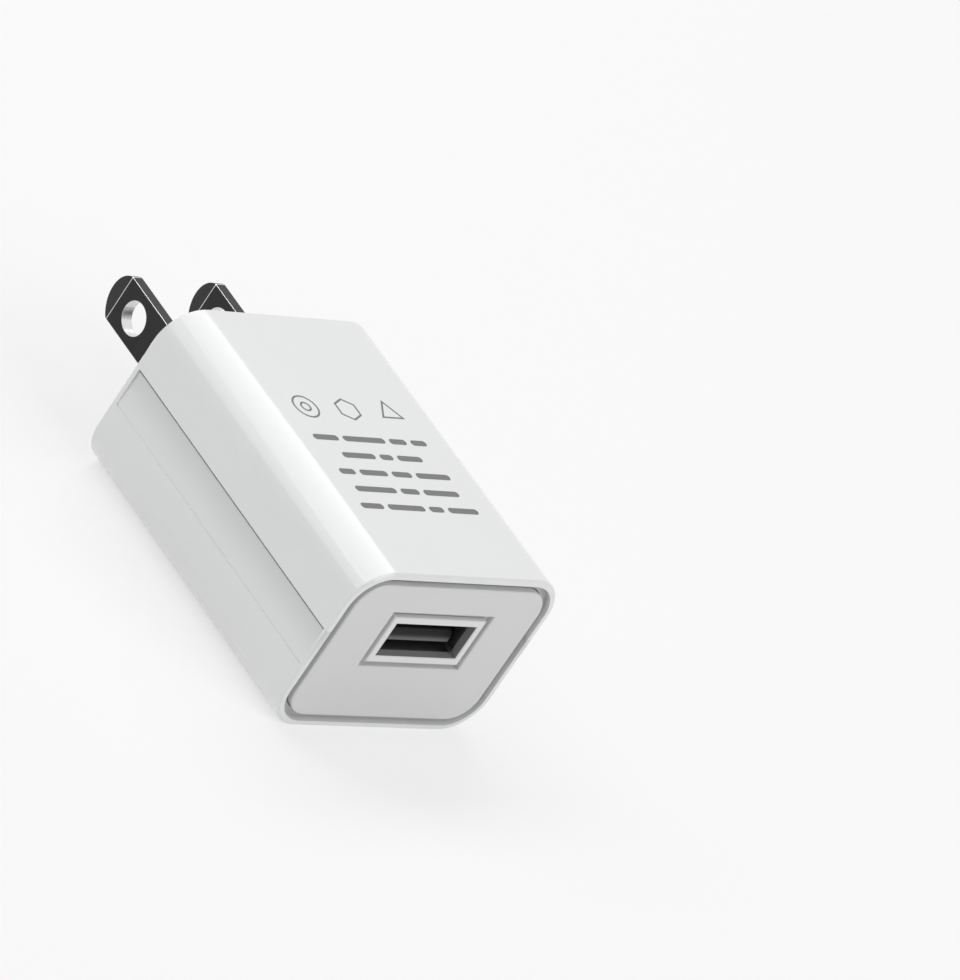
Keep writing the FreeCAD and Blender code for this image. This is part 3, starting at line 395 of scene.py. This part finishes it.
def plate_painted_shade(finish, settings):
    """Painted shade on the socket end's plate: down its edge and on the ledge in its window."""
    along = finish.axes()[1]
    low = middle("socket_end_cover").y - half_size("socket_end_cover").y
    return ((finish.ease(along - low, SHADE_START, settings.seam_depth / MM), settings.seam),)


def collar_painted_shade(finish, settings):
    """Painted shade on the ring: down its outer edge and on the walls of its mouth."""
    across, along, up = finish.axes()
    centre, half = middle("port_collar"), half_size("port_collar")
    from_end = along - (centre.y - half.y)
    ring, lip = 1.4, 0.09
    # The walls inside the ring's mouth get painted shade.
    mouth = (abs(across - centre.x) < half.x - ring) & (abs(up - centre.z) < half.z - ring)
    return (
        (finish.ease(from_end, SHADE_START, settings.seam_depth / MM), settings.seam),
        (mouth & (from_end > lip), settings.mouth),
    )


def moulded_plastic(name, base, settings, matt=0.0, seams=None):
    """Gloss moulding: faint clouds in the white, uneven gloss, and the ripple of a polished mould."""
    finish = Finish(name, {"IOR": GLOSS_IOR, "Coat Roughness": 0.05 + matt / 4, "Coat IOR": GLOSS_IOR})
    clouds = finish.noise(14.0, 3.0)
    white = finish.mottled(clouds, base, 0.985, 1.01)
    # Each pair yields painted shade: a share and the grey that it blends in.
    for share, grey in seams(finish, settings) if seams else ():
        white = finish.blend(share, white, grey)
    finish.set("Base Color", white)
    specks = finish.noise(0.22, 4.0)
    finish.set("Roughness", settings.gloss + matt + 0.08 * (specks - 0.5))
    finish.set("Coat Weight", settings.coat * (1.0 - 0.12 * clouds))
    ripple = finish.noise(settings.ripple_width / MM, 1.0, (1.0, 1.8, 1.0))
    grain = finish.noise(0.12, 2.0)
    finish.bump(ripple + (0.08 + matt) * grain, settings.ripple_depth)
    return finish


def blade_plating(node, settings):
    """Plated blade: drawn lines along its length, a near-black painted reflection, and painted highlights on
    its corners, crease and hole.
    """
    finish = Finish("plated_" + node, {"Metallic": 1.0})
    across, along, up = finish.axes()
    centre, half = middle(node), half_size(node)
    edge = settings.edge_width / MM
    hole = next(mount for mount in frame["record"]["mounts"] if mount["kind"] == "bore")
    hole_along = hole["pos_m"][1] / MM
    hole_radius = hole["dims"]["r_mm"]
    corner = (abs(up - centre.z) > half.z - edge) & (abs(across - centre.x) > half.x - edge)
    from_hole = finish.maths(
        "SQRT", (along - hole_along) * (along - hole_along) + (up - centre.z) * (up - centre.z)
    )
    rim = abs(from_hole - hole_radius) < edge / 2
    crease = abs(along - (centre.y + half.y - settings.crease / MM)) < edge / 2
    # Painted highlights along the corners, round the hole and across the crease.
    painted_highlight = corner | rim | crease
    streaks = finish.noise(0.09, 3.0, (1.0, 60.0, 1.0))
    handling = finish.noise(2.4, 4.0)
    # Near-black painted reflection, mottled by handling.
    worn_dark_reflection = finish.mottled(handling, settings.blade, 0.8, 1.2)
    finish.set("Base Color", finish.blend(painted_highlight, worn_dark_reflection, settings.blade_edge_highlight))
    finish.set("Roughness", 0.16 + 0.14 * streaks + 0.08 * handling)
    finish.bump(streaks + 0.3 * handling, 0.002 * MM)
    return finish


def rolled_steel(settings):
    """Satin steel of the receptacle's shell, rolled along its length."""
    finish = Finish("rolled_steel", {"Metallic": 1.0})
    rolling = finish.noise(0.08, 3.0, (1.0, 40.0, 1.0))
    clouds = finish.noise(3.0, 3.0)
    finish.set("Base Color", finish.mottled(clouds, settings.shell, 0.85, 1.1))
    finish.set("Roughness", 0.30 + 0.15 * rolling)
    finish.bump(rolling, 0.002 * MM)
    return finish


def plated_contact(settings):
    """Thin plating, with duller patches."""
    finish = Finish("plated_contact", {"Metallic": 1.0})
    patches = finish.noise(0.8, 4.0)
    finish.set("Base Color", finish.mottled(patches, settings.contact, 0.75, 1.0))
    finish.set("Roughness", 0.2 + 0.2 * patches)
    finish.bump(finish.noise(0.1, 2.0, (1.0, 12.0, 1.0)), 0.001 * MM)
    return finish


def tinned_metal(settings):
    """Dipped tin: soft runs and a frosted sheen."""
    finish = Finish("tinned_metal", {"Metallic": 1.0})
    runs = finish.noise(0.7, 3.0)
    frost = finish.noise(0.06, 4.0)
    finish.set("Base Color", finish.mottled(frost, settings.tin, 0.86, 1.1))
    finish.set("Roughness", 0.25 + 0.25 * frost)
    finish.bump(runs + 0.2 * frost, 0.01 * MM)
    return finish


def matt_moulding(name, base):
    """Matt engineering plastic with glass filler that shows as fine specks."""
    finish = Finish(name, {"IOR": GLOSS_IOR})
    specks = finish.noise(0.3, 5.0)
    finish.set("Base Color", finish.mottled(specks, base, 0.8, 1.3))
    finish.set("Roughness", 0.45 + 0.2 * specks)
    finish.bump(specks, 0.006 * MM)
    return finish


def tongue_moulding(settings):
    """The tongue: its tip shows a paler grey, and painted shade darkens it deeper in and towards its top."""
    finish = Finish("tongue_moulding", {"IOR": DULL_IOR})
    specks = finish.noise(0.2, 5.0)
    across, along, up = finish.axes()
    centre, half = middle("receptacle_tongue"), half_size("receptacle_tongue")
    tip, foot = centre.y - half.y, centre.z - half.z
    # Painted shade: darker deeper in the port and towards the tongue's top.
    shade_inwards = finish.ease(along, tip + 0.2, tip + 0.8) | finish.ease(up, foot + 1.0, foot + 1.9)
    rubbed = finish.mottled(specks, settings.tongue_tip, 0.9, 1.1)
    finish.set("Base Color", finish.blend(shade_inwards, rubbed, settings.tongue))
    finish.set("Roughness", 0.45 + 0.2 * specks)
    finish.bump(specks, 0.006 * MM)
    return finish


def sintered(base):
    """Sintered ferrite: pits, a dull ground face and paler dust in the pores."""
    finish = Finish("sintered_ferrite")
    pores = finish.noise(0.14, 5.0)
    pits = finish.ease(pores, 0.55, 0.7)
    finish.set("Base Color", finish.mottled(pits, base, 1.0, 2.2))
    finish.set("Roughness", 0.55 + 0.3 * pores)
    finish.bump(pores - pits, 0.02 * MM)
    return finish


def enamelled_turns(settings):
    """Copper turns laid side by side along the coil's axis, with painted shade between the turns."""
    wire = 0.22
    finish = Finish("enamelled_turns", {"Metallic": 0.6, "Coat Weight": 0.6, "Coat Roughness": 0.12})
    along = finish.axes()[1]
    turn = abs(finish.maths("PINGPONG", along, wire / 2) / wire * 2 - 0.5) * 2
    # Painted shade between the turns: the copper darkens towards each gap.
    groove = finish.ease(turn, 0.0, 0.7)
    layer = finish.noise(2.0, 2.0)
    copper = finish.mottled(layer, settings.copper, 0.85, 1.15)
    finish.set("Base Color", finish.blend(groove, tinted(settings.copper, 0.35), copper))
    finish.set("Roughness", 0.25 + 0.2 * layer)
    finish.bump(groove, 0.08 * MM)
    return finish


def wrapped_film(base):
    """Polyester film, with the edge of each lap showing as a darker line."""
    lap = 2.6
    finish = Finish("wrapped_film", {"Coat Weight": 0.4, "Coat Roughness": 0.08})
    along = finish.axes()[1]
    edge = finish.maths("PINGPONG", along, lap / 2) < 0.06
    clouds = finish.noise(1.6, 3.0)
    film = finish.mottled(clouds, base, 0.88, 1.08)
    finish.set("Base Color", finish.blend(edge, film, tinted(base, 0.45)))
    finish.set("Roughness", 0.25 + 0.15 * clouds)
    finish.bump(clouds - edge, 0.02 * MM)
    return finish


def can_sleeve(node, settings):
    """Capacitor can: shrunk sleeve with a plain stripe, and a bare top."""
    finish = Finish("can_" + node, {"Coat Weight": 0.3})
    across, along, up = finish.axes()
    centre, half = middle(node), half_size(node)
    rim = 0.35
    radius = min(half.x, half.y)
    top = up < centre.z - half.z + rim
    inside = abs(across - centre.x) < radius - 3 * rim
    bare = top & inside
    stripe = (across - centre.x > 0.72 * radius) & (up > centre.z - half.z + 2 * rim)
    creases = finish.noise(0.9, 4.0, (1.0, 1.0, 3.0))
    sleeve = finish.mottled(creases, settings.can, 0.8, 1.3)
    marked = finish.blend(stripe, sleeve, settings.can_stripe)
    finish.set("Base Color", finish.blend(bare, marked, settings.can_top))
    finish.set("Metallic", bare)
    finish.set("Roughness", 0.28 + 0.2 * creases)
    finish.bump(creases, 0.02 * MM)
    return finish


def banded_resistor(settings, metals):
    """Ceramic-coated resistor with three plain bands and tinned wires."""
    node = "fusible_resistor"
    finish = Finish("banded_resistor", {"Coat Weight": 0.2})
    centre, half = middle(node), half_size(node)
    place = finish.axes()
    longest = max(range(3), key=lambda axis: half[axis])
    reach = place[longest] - centre[longest]
    band_pitch, band_width, banded_half, body_half = 1.5, 0.45, 2.4, 4.0
    on_band = finish.maths("PINGPONG", reach, band_pitch / 2) < band_width / 2
    band = on_band & (abs(reach) < banded_half)
    wire = abs(reach) > body_half
    pits = finish.noise(0.25, 4.0)
    coat = finish.mottled(pits, settings.resistor, 0.85, 1.15)
    painted = finish.blend(band, coat, settings.resistor_band)
    finish.set("Base Color", finish.blend(wire, painted, metals.tin))
    finish.set("Metallic", wire)
    finish.set("Roughness", 0.35 + 0.2 * pits)
    finish.bump(pits, 0.01 * MM)
    return finish


def dipped_disc(settings):
    """Dipped epoxy coat with a soft orange peel."""
    finish = Finish("dipped_disc", {"Coat Weight": 0.5, "Coat Roughness": 0.1})
    peel = finish.noise(0.8, 2.0)
    finish.set("Base Color", finish.mottled(peel, settings.disc, 0.82, 1.12))
    finish.set("Roughness", 0.22 + 0.12 * peel)
    finish.bump(peel, 0.03 * MM)
    return finish


def chip_package(node, settings, metals):
    """Moulded chip package: matt resin, with tinned legs below and outside it."""
    finish = Finish("package_" + node)
    across, along, up = finish.axes()
    centre, half = middle(node), half_size(node)
    leg = 0.24
    legs = abs(across - centre.x) > half.x * (1 - leg)
    grain = finish.noise(0.07, 4.0)
    resin = finish.mottled(grain, settings.resin, 0.8, 1.5)
    finish.set("Base Color", finish.blend(legs, resin, metals.tin))
    finish.set("Metallic", legs)
    finish.set("Roughness", 0.55 + 0.2 * grain - 0.25 * legs)
    finish.bump(grain, 0.006 * MM)
    return finish


def small_chips(settings):
    """Small ceramic chips, speckled by their grain."""
    finish = Finish("small_chips")
    grain = finish.noise(0.1, 4.0)
    finish.set("Base Color", finish.mottled(grain, settings.ceramic, 0.75, 1.2))
    finish.set("Roughness", 0.35 + 0.25 * grain)
    finish.bump(grain, 0.005 * MM)
    return finish


def masked_board(settings):
    """Green solder mask over copper tracks, with the laminate's weave under it."""
    track_pitch, track_width = 1.27, 0.35
    weave_pitch = 0.3
    finish = Finish("masked_board", {"Coat Weight": 0.3, "Coat Roughness": 0.15})
    across, along, up = finish.axes()
    bend = finish.noise(6.0, 0.0)
    track = finish.maths("PINGPONG", across + 3.0 * bend, track_pitch / 2) < track_width / 2
    weave = finish.maths("PINGPONG", across, weave_pitch) + finish.maths("PINGPONG", along, weave_pitch)
    laminate = finish.mottled(weave, settings.board, 0.85, 1.1)
    finish.set("Base Color", finish.blend(track, laminate, settings.track))
    finish.set("Roughness", 0.3 + 0.15 * weave)
    finish.bump(track + 0.2 * weave, 0.02 * MM)
    return finish


def printing_ink(settings):
    """Thin grey ink, a little uneven in cover and gloss."""
    finish = Finish("printing_ink")
    cover = finish.noise(0.18, 4.0)
    finish.set("Base Color", finish.mottled(cover, settings.ink, 0.88, 1.2))
    finish.set("Roughness", 0.4 + 0.2 * cover)
    finish.bump(cover, 0.001 * MM)
    return finish


class ChargerOperator(bpy.types.Operator):
    """Shared by the charger's operators."""

    bl_options = {"REGISTER", "UNDO"}

    def execute(self, context):
        self.make(context.scene)
        return {"FINISHED"}


class CHARGER_OT_case(ChargerOperator):
    """Finish the sleeve, the two end plates and the collar"""

    bl_idname = "charger.case"
    bl_label = "Finish the Case"

    def make(self, scene):
        plastic = scene.charger_plastic
        dress(moulded_plastic("sleeve_white", plastic.sleeve, plastic, 0.0, sleeve_painted_shade), "sleeve")
        dress(moulded_plastic("cover_white", plastic.plate, plastic, 0.08, plate_painted_shade), "socket_end_cover")
        dress(moulded_plastic("base_white", plastic.plate, plastic, 0.08), "blade_base")
        dress(moulded_plastic("collar_white", plastic.collar, plastic, 0.0, collar_painted_shade), "port_collar")


class CHARGER_OT_blades(ChargerOperator):
    """Finish the two plated blades"""

    bl_idname = "charger.blades"
    bl_label = "Finish the Blades"

    def make(self, scene):
        for node in ("blade_left", "blade_right"):
            dress(blade_plating(node, scene.charger_metal), node)


class CHARGER_OT_receptacle(ChargerOperator):
    """Finish the receptacle's shell, tongue and contacts"""

    bl_idname = "charger.receptacle"
    bl_label = "Finish the Receptacle"

    def make(self, scene):
        metal = scene.charger_metal
        dress(rolled_steel(metal), "receptacle_shell")
        dress(tongue_moulding(scene.charger_inside), "receptacle_tongue")
        contacts = [name for name in NODES if name.startswith("contact_")]
        dress(plated_contact(metal), *contacts)


class CHARGER_OT_transformer(ChargerOperator):
    """Finish the transformer's cores, bobbin, winding, tape and pins"""

    bl_idname = "charger.transformer"
    bl_label = "Finish the Transformer"

    def make(self, scene):
        inside = scene.charger_inside
        metal = scene.charger_metal
        dress(sintered(inside.ferrite), "transformer_core_upper", "transformer_core_lower", "filter_choke")
        dress(matt_moulding("bobbin_moulding", inside.bobbin), "transformer_bobbin")
        dress(enamelled_turns(metal), "transformer_winding")
        dress(wrapped_film(inside.tape), "winding_tape")
        dress(tinned_metal(metal), "transformer_pins", "live_lead", "neutral_lead")


class CHARGER_OT_board(ChargerOperator):
    """Finish the board and everything soldered to it"""

    bl_idname = "charger.board"
    bl_label = "Finish the Board"

    def make(self, scene):
        inside = scene.charger_inside
        dress(masked_board(inside), "circuit_board")
        dress(banded_resistor(inside, scene.charger_metal), "fusible_resistor")
        dress(dipped_disc(inside), "safety_capacitor")
        dress(small_chips(inside), "chip_resistors", "chip_capacitors")
        for node in ("controller_chip", "bridge_rectifier", "output_diode"):
            dress(chip_package(node, inside, scene.charger_metal), node)
        for node in NODES:
            if "_capacitor" in node and node != "safety_capacitor":
                dress(can_sleeve(node, inside), node)


BAR_SEGMENTS = 12
RING_SEGMENTS = 48

# Rows of the printed block from the socket end on: how far each bar reaches, in millimetres.
BAR_ROWS = (
    (3.4, 5.6, 2.2, 4.6),
    (6.2, 2.8, 5.4),
    (2.4, 4.2, 3.0, 5.2),
    (5.0, 2.0, 3.8),
    (3.8, 6.4, 2.6, 2.4),
)
# Outlines in the last row: place across in millimetres, number of sides, share of the mark's height.
MARKS = (
    (-6.4, RING_SEGMENTS, 1.0),
    (0.0, 6, 1.0),
    (6.4, 3, 1.12),
)
INNER_RING = 0.42


def ink_bar(mesh, across, along, length, height):
    """A flat bar with round ends."""
    turn = Matrix.Rotation(pi / BAR_SEGMENTS, 4, "Z")
    ring = bmesh.ops.create_circle(
        mesh, cap_ends=True, radius=height / 2, segments=BAR_SEGMENTS, matrix=turn
    )["verts"]
    for vert in ring:
        vert.co.x += copysign((length - height) / 2, vert.co.x)
    bmesh.ops.translate(mesh, verts=ring, vec=(across, along, 0))


def ink_outline(mesh, across, along, sides, height, line):
    """A flat closed outline with a number of equal sides."""
    ring = bmesh.ops.create_circle(mesh, cap_ends=True, radius=height / 2, segments=sides)["verts"]
    bmesh.ops.translate(mesh, verts=ring, vec=(across, along, 0))
    cap = ring[0].link_faces[0]
    bmesh.ops.inset_region(mesh, faces=[cap], thickness=line, use_even_offset=True, use_boundary=True)
    bmesh.ops.delete(mesh, geom=[cap], context="FACES_ONLY")


def add_piece(name, mesh, material):
    """Makes an object of a mesh, with its place in its vertices, and lets it ride on the body."""
    data = bpy.data.meshes.new(name)
    mesh.to_mesh(data)
    mesh.free()
    piece = bpy.data.objects.new(name, data)
    bpy.context.scene.collection.objects.link(piece)
    data.materials.append(material)
    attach(piece, BODY)
    return piece


class CHARGER_OT_print(ChargerOperator):
    """Print the plain block of bars and outlines on the broad face"""

    bl_idname = "charger.print"
    bl_label = "Print the Block"

    def make(self, scene):
        settings = scene.charger_print
        low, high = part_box("sleeve")
        mesh = bmesh.new()
        row_y = low.y + settings.start
        for row in BAR_ROWS:
            self.print_row(mesh, settings, row, row_y)
            row_y += settings.pitch
        row_y += settings.mark - settings.pitch / 2
        for across, sides, share in MARKS:
            height = settings.mark * share
            ink_outline(mesh, across * MM, row_y, sides, height, settings.mark_line)
        ring_at, inner = MARKS[0][0] * MM, settings.mark * INNER_RING
        ink_outline(mesh, ring_at, row_y, RING_SEGMENTS, inner, settings.mark_line)
        bmesh.ops.recalc_face_normals(mesh, faces=mesh.faces)
        bmesh.ops.solidify(mesh, geom=mesh.faces[:], thickness=settings.ink_depth)
        lowest = min(vert.co.z for vert in mesh.verts)
        bmesh.ops.translate(mesh, verts=mesh.verts, vec=(0, 0, high.z - lowest))
        bmesh.ops.recalc_face_normals(mesh, faces=mesh.faces)
        add_piece("printed_block", mesh, printing_ink(settings).material)

    def print_row(self, mesh, settings, row, row_y):
        """Sets the bars of a row side by side, centred on the face."""
        reach = sum(row) * MM + settings.gap * (len(row) - 1)
        left = -reach / 2
        for length in row:
            ink_bar(mesh, left + length * MM / 2, row_y, length * MM, settings.bar)
            left += length * MM + settings.gap


def look_from(azimuth, elevation, distance, aim, roll=0.0):
    """The place of a lamp or camera that looks at a point. Azimuth 0 looks along +Y."""
    turn = Matrix.Rotation(azimuth, 4, "Z") @ Matrix.Rotation(pi / 2 - elevation, 4, "X")
    turn @= Matrix.Rotation(roll, 4, "Z")
    return Matrix.Translation(Vector(aim)) @ turn @ Matrix.Translation((0, 0, distance))


# Soft lamps: name, setting of the power, width and height in metres, azimuth and elevation in
# degrees, and distance in metres.
LAMPS = (
    ("strip_behind", "strip_watts", 1.37, 0.24, 184.0, 57.5, 0.8),
    ("side_behind", "side_watts", 0.3, 0.36, 229.0, 31.0, 0.9),
    ("fill_in_front", "fill_watts", 0.7, 0.5, 15.0, 38.0, 0.9),
)


def add_softbox(scene, name, power, width, height, azimuth, elevation, distance):
    """A rectangular soft lamp aimed at the object."""
    light = bpy.data.lights.new(name, "AREA")
    light.shape = "RECTANGLE"
    light.size = width
    light.size_y = height
    light.energy = power
    lamp = bpy.data.objects.new(name, light)
    aim = (0, 0, CAD_BOX[1][2] / 2)
    lamp.matrix_world = look_from(radians(azimuth), radians(elevation), distance, aim)
    scene.collection.objects.link(lamp)


# Kinds of ray that show the white background.
RAYS = ("Camera", "Glossy", "Transmission")


class CHARGER_OT_studio(ChargerOperator):
    """Set the floor, the lamps, the white surroundings and the camera"""

    bl_idname = "charger.studio"
    bl_label = "Set the Studio"

    # Half of the floor's side in metres, and how far the floor shows as plain white.
    floor_half = 3.0
    floor_glow = 0.6

    def make(self, scene):
        studio = scene.charger_studio
        self.lay_floor(scene, studio)
        self.surround(scene, studio)
        for name, power, *lamp in LAMPS:
            add_softbox(scene, name, getattr(studio, power), *lamp)
        self.set_camera(scene, studio)
        scene.view_settings.view_transform = "Standard"

    def shown(self, graph):
        """1 on rays that show the background: from the camera, in gloss and through glass."""
        path = graph.node("ShaderNodeLightPath").socket.node.outputs
        camera, glossy, through = (Value(graph, path["Is %s Ray" % kind]) for kind in RAYS)
        return camera | glossy | through

    def lay_floor(self, scene, studio):
        """A wide pale floor that keeps the object's shadow."""
        mesh = bmesh.new()
        bmesh.ops.create_grid(mesh, x_segments=8, y_segments=8, size=self.floor_half)
        data = bpy.data.meshes.new("floor")
        mesh.to_mesh(data)
        mesh.free()
        floor = bpy.data.objects.new("floor", data)
        scene.collection.objects.link(floor)
        finish = Finish("floor_paper", {"Roughness": 0.9})
        paper = finish.noise(30.0, 3.0)
        finish.set("Base Color", finish.mottled(paper, studio.floor, 0.995, 1.0))
        glow = finish.node("ShaderNodeEmission", inputs={"Color": WHITE, "Strength": 1.0})
        surface = Value(finish, finish.shader.outputs["BSDF"])
        mixed = finish.node(
            "ShaderNodeMixShader", inputs={0: self.shown(finish) * self.floor_glow, 1: surface, 2: glow}
        )
        output = finish.tree.get_output_node("ALL")
        finish.fill(output.inputs["Surface"], mixed)
        data.materials.append(finish.material)

    def surround(self, scene, studio):
        """Even light from all round, white where it is seen."""
        world = bpy.data.worlds.new("surroundings")
        world.use_nodes = True
        scene.world = world
        graph = Graph(world.node_tree)
        light = graph.node("ShaderNodeBackground", inputs={"Color": WHITE, "Strength": studio.ambient})
        seen = graph.node("ShaderNodeBackground", inputs={"Color": WHITE, "Strength": 1.0})
        mixed = graph.node("ShaderNodeMixShader", inputs={0: self.shown(graph), 1: light, 2: seen})
        graph.node("ShaderNodeOutputWorld", inputs={"Surface": mixed})

    def set_camera(self, scene, studio):
        """The photograph's camera: a long lens, rolled."""
        lens = bpy.data.cameras.new("camera")
        lens.sensor_width = SENSOR_MM
        lens.lens = studio.camera_focal
        lens.clip_start = NEAREST
        camera = bpy.data.objects.new("camera", lens)
        camera.matrix_world = look_from(
            studio.camera_azimuth,
            studio.camera_elevation,
            studio.camera_distance,
            studio.camera_aim,
            studio.camera_roll,
        )
        scene.collection.objects.link(camera)
        scene.camera = camera


SETTINGS = {
    "charger_plastic": PlasticSettings,
    "charger_metal": MetalSettings,
    "charger_inside": InsideSettings,
    "charger_print": PrintSettings,
    "charger_studio": StudioSettings,
}
OPERATORS = (
    CHARGER_OT_case,
    CHARGER_OT_blades,
    CHARGER_OT_receptacle,
    CHARGER_OT_transformer,
    CHARGER_OT_board,
    CHARGER_OT_print,
    CHARGER_OT_studio,
)


class CHARGER_PT_panel(bpy.types.Panel):
    """Lists the charger's operators and settings."""

    bl_label = "USB Wall Charger"
    bl_space_type = "VIEW_3D"
    bl_region_type = "UI"
    bl_category = "Charger"

    def draw(self, context):
        for operator in OPERATORS:
            self.layout.operator(operator.bl_idname)
        for name, group in SETTINGS.items():
            box = self.layout.box()
            for setting in group.__annotations__:
                box.prop(getattr(context.scene, name), setting)


def register():
    """Registers the settings, the operators and the panel."""
    for name, group in SETTINGS.items():
        bpy.utils.register_class(group)
        setattr(bpy.types.Scene, name, PointerProperty(type=group))
    for cls in (*OPERATORS, CHARGER_PT_panel):
        bpy.utils.register_class(cls)


def unregister():
    """Takes the panel, the operators and the settings away again."""
    for cls in (CHARGER_PT_panel, *reversed(OPERATORS)):
        bpy.utils.unregister_class(cls)
    for name, group in SETTINGS.items():
        delattr(bpy.types.Scene, name)
        bpy.utils.unregister_class(group)


def main():
    """Dresses the charger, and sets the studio."""
    register()
    for operator in OPERATORS:
        group, name = operator.bl_idname.split(".")
        getattr(getattr(bpy.ops, group), name)()


if __name__ == "__main__":
    main()
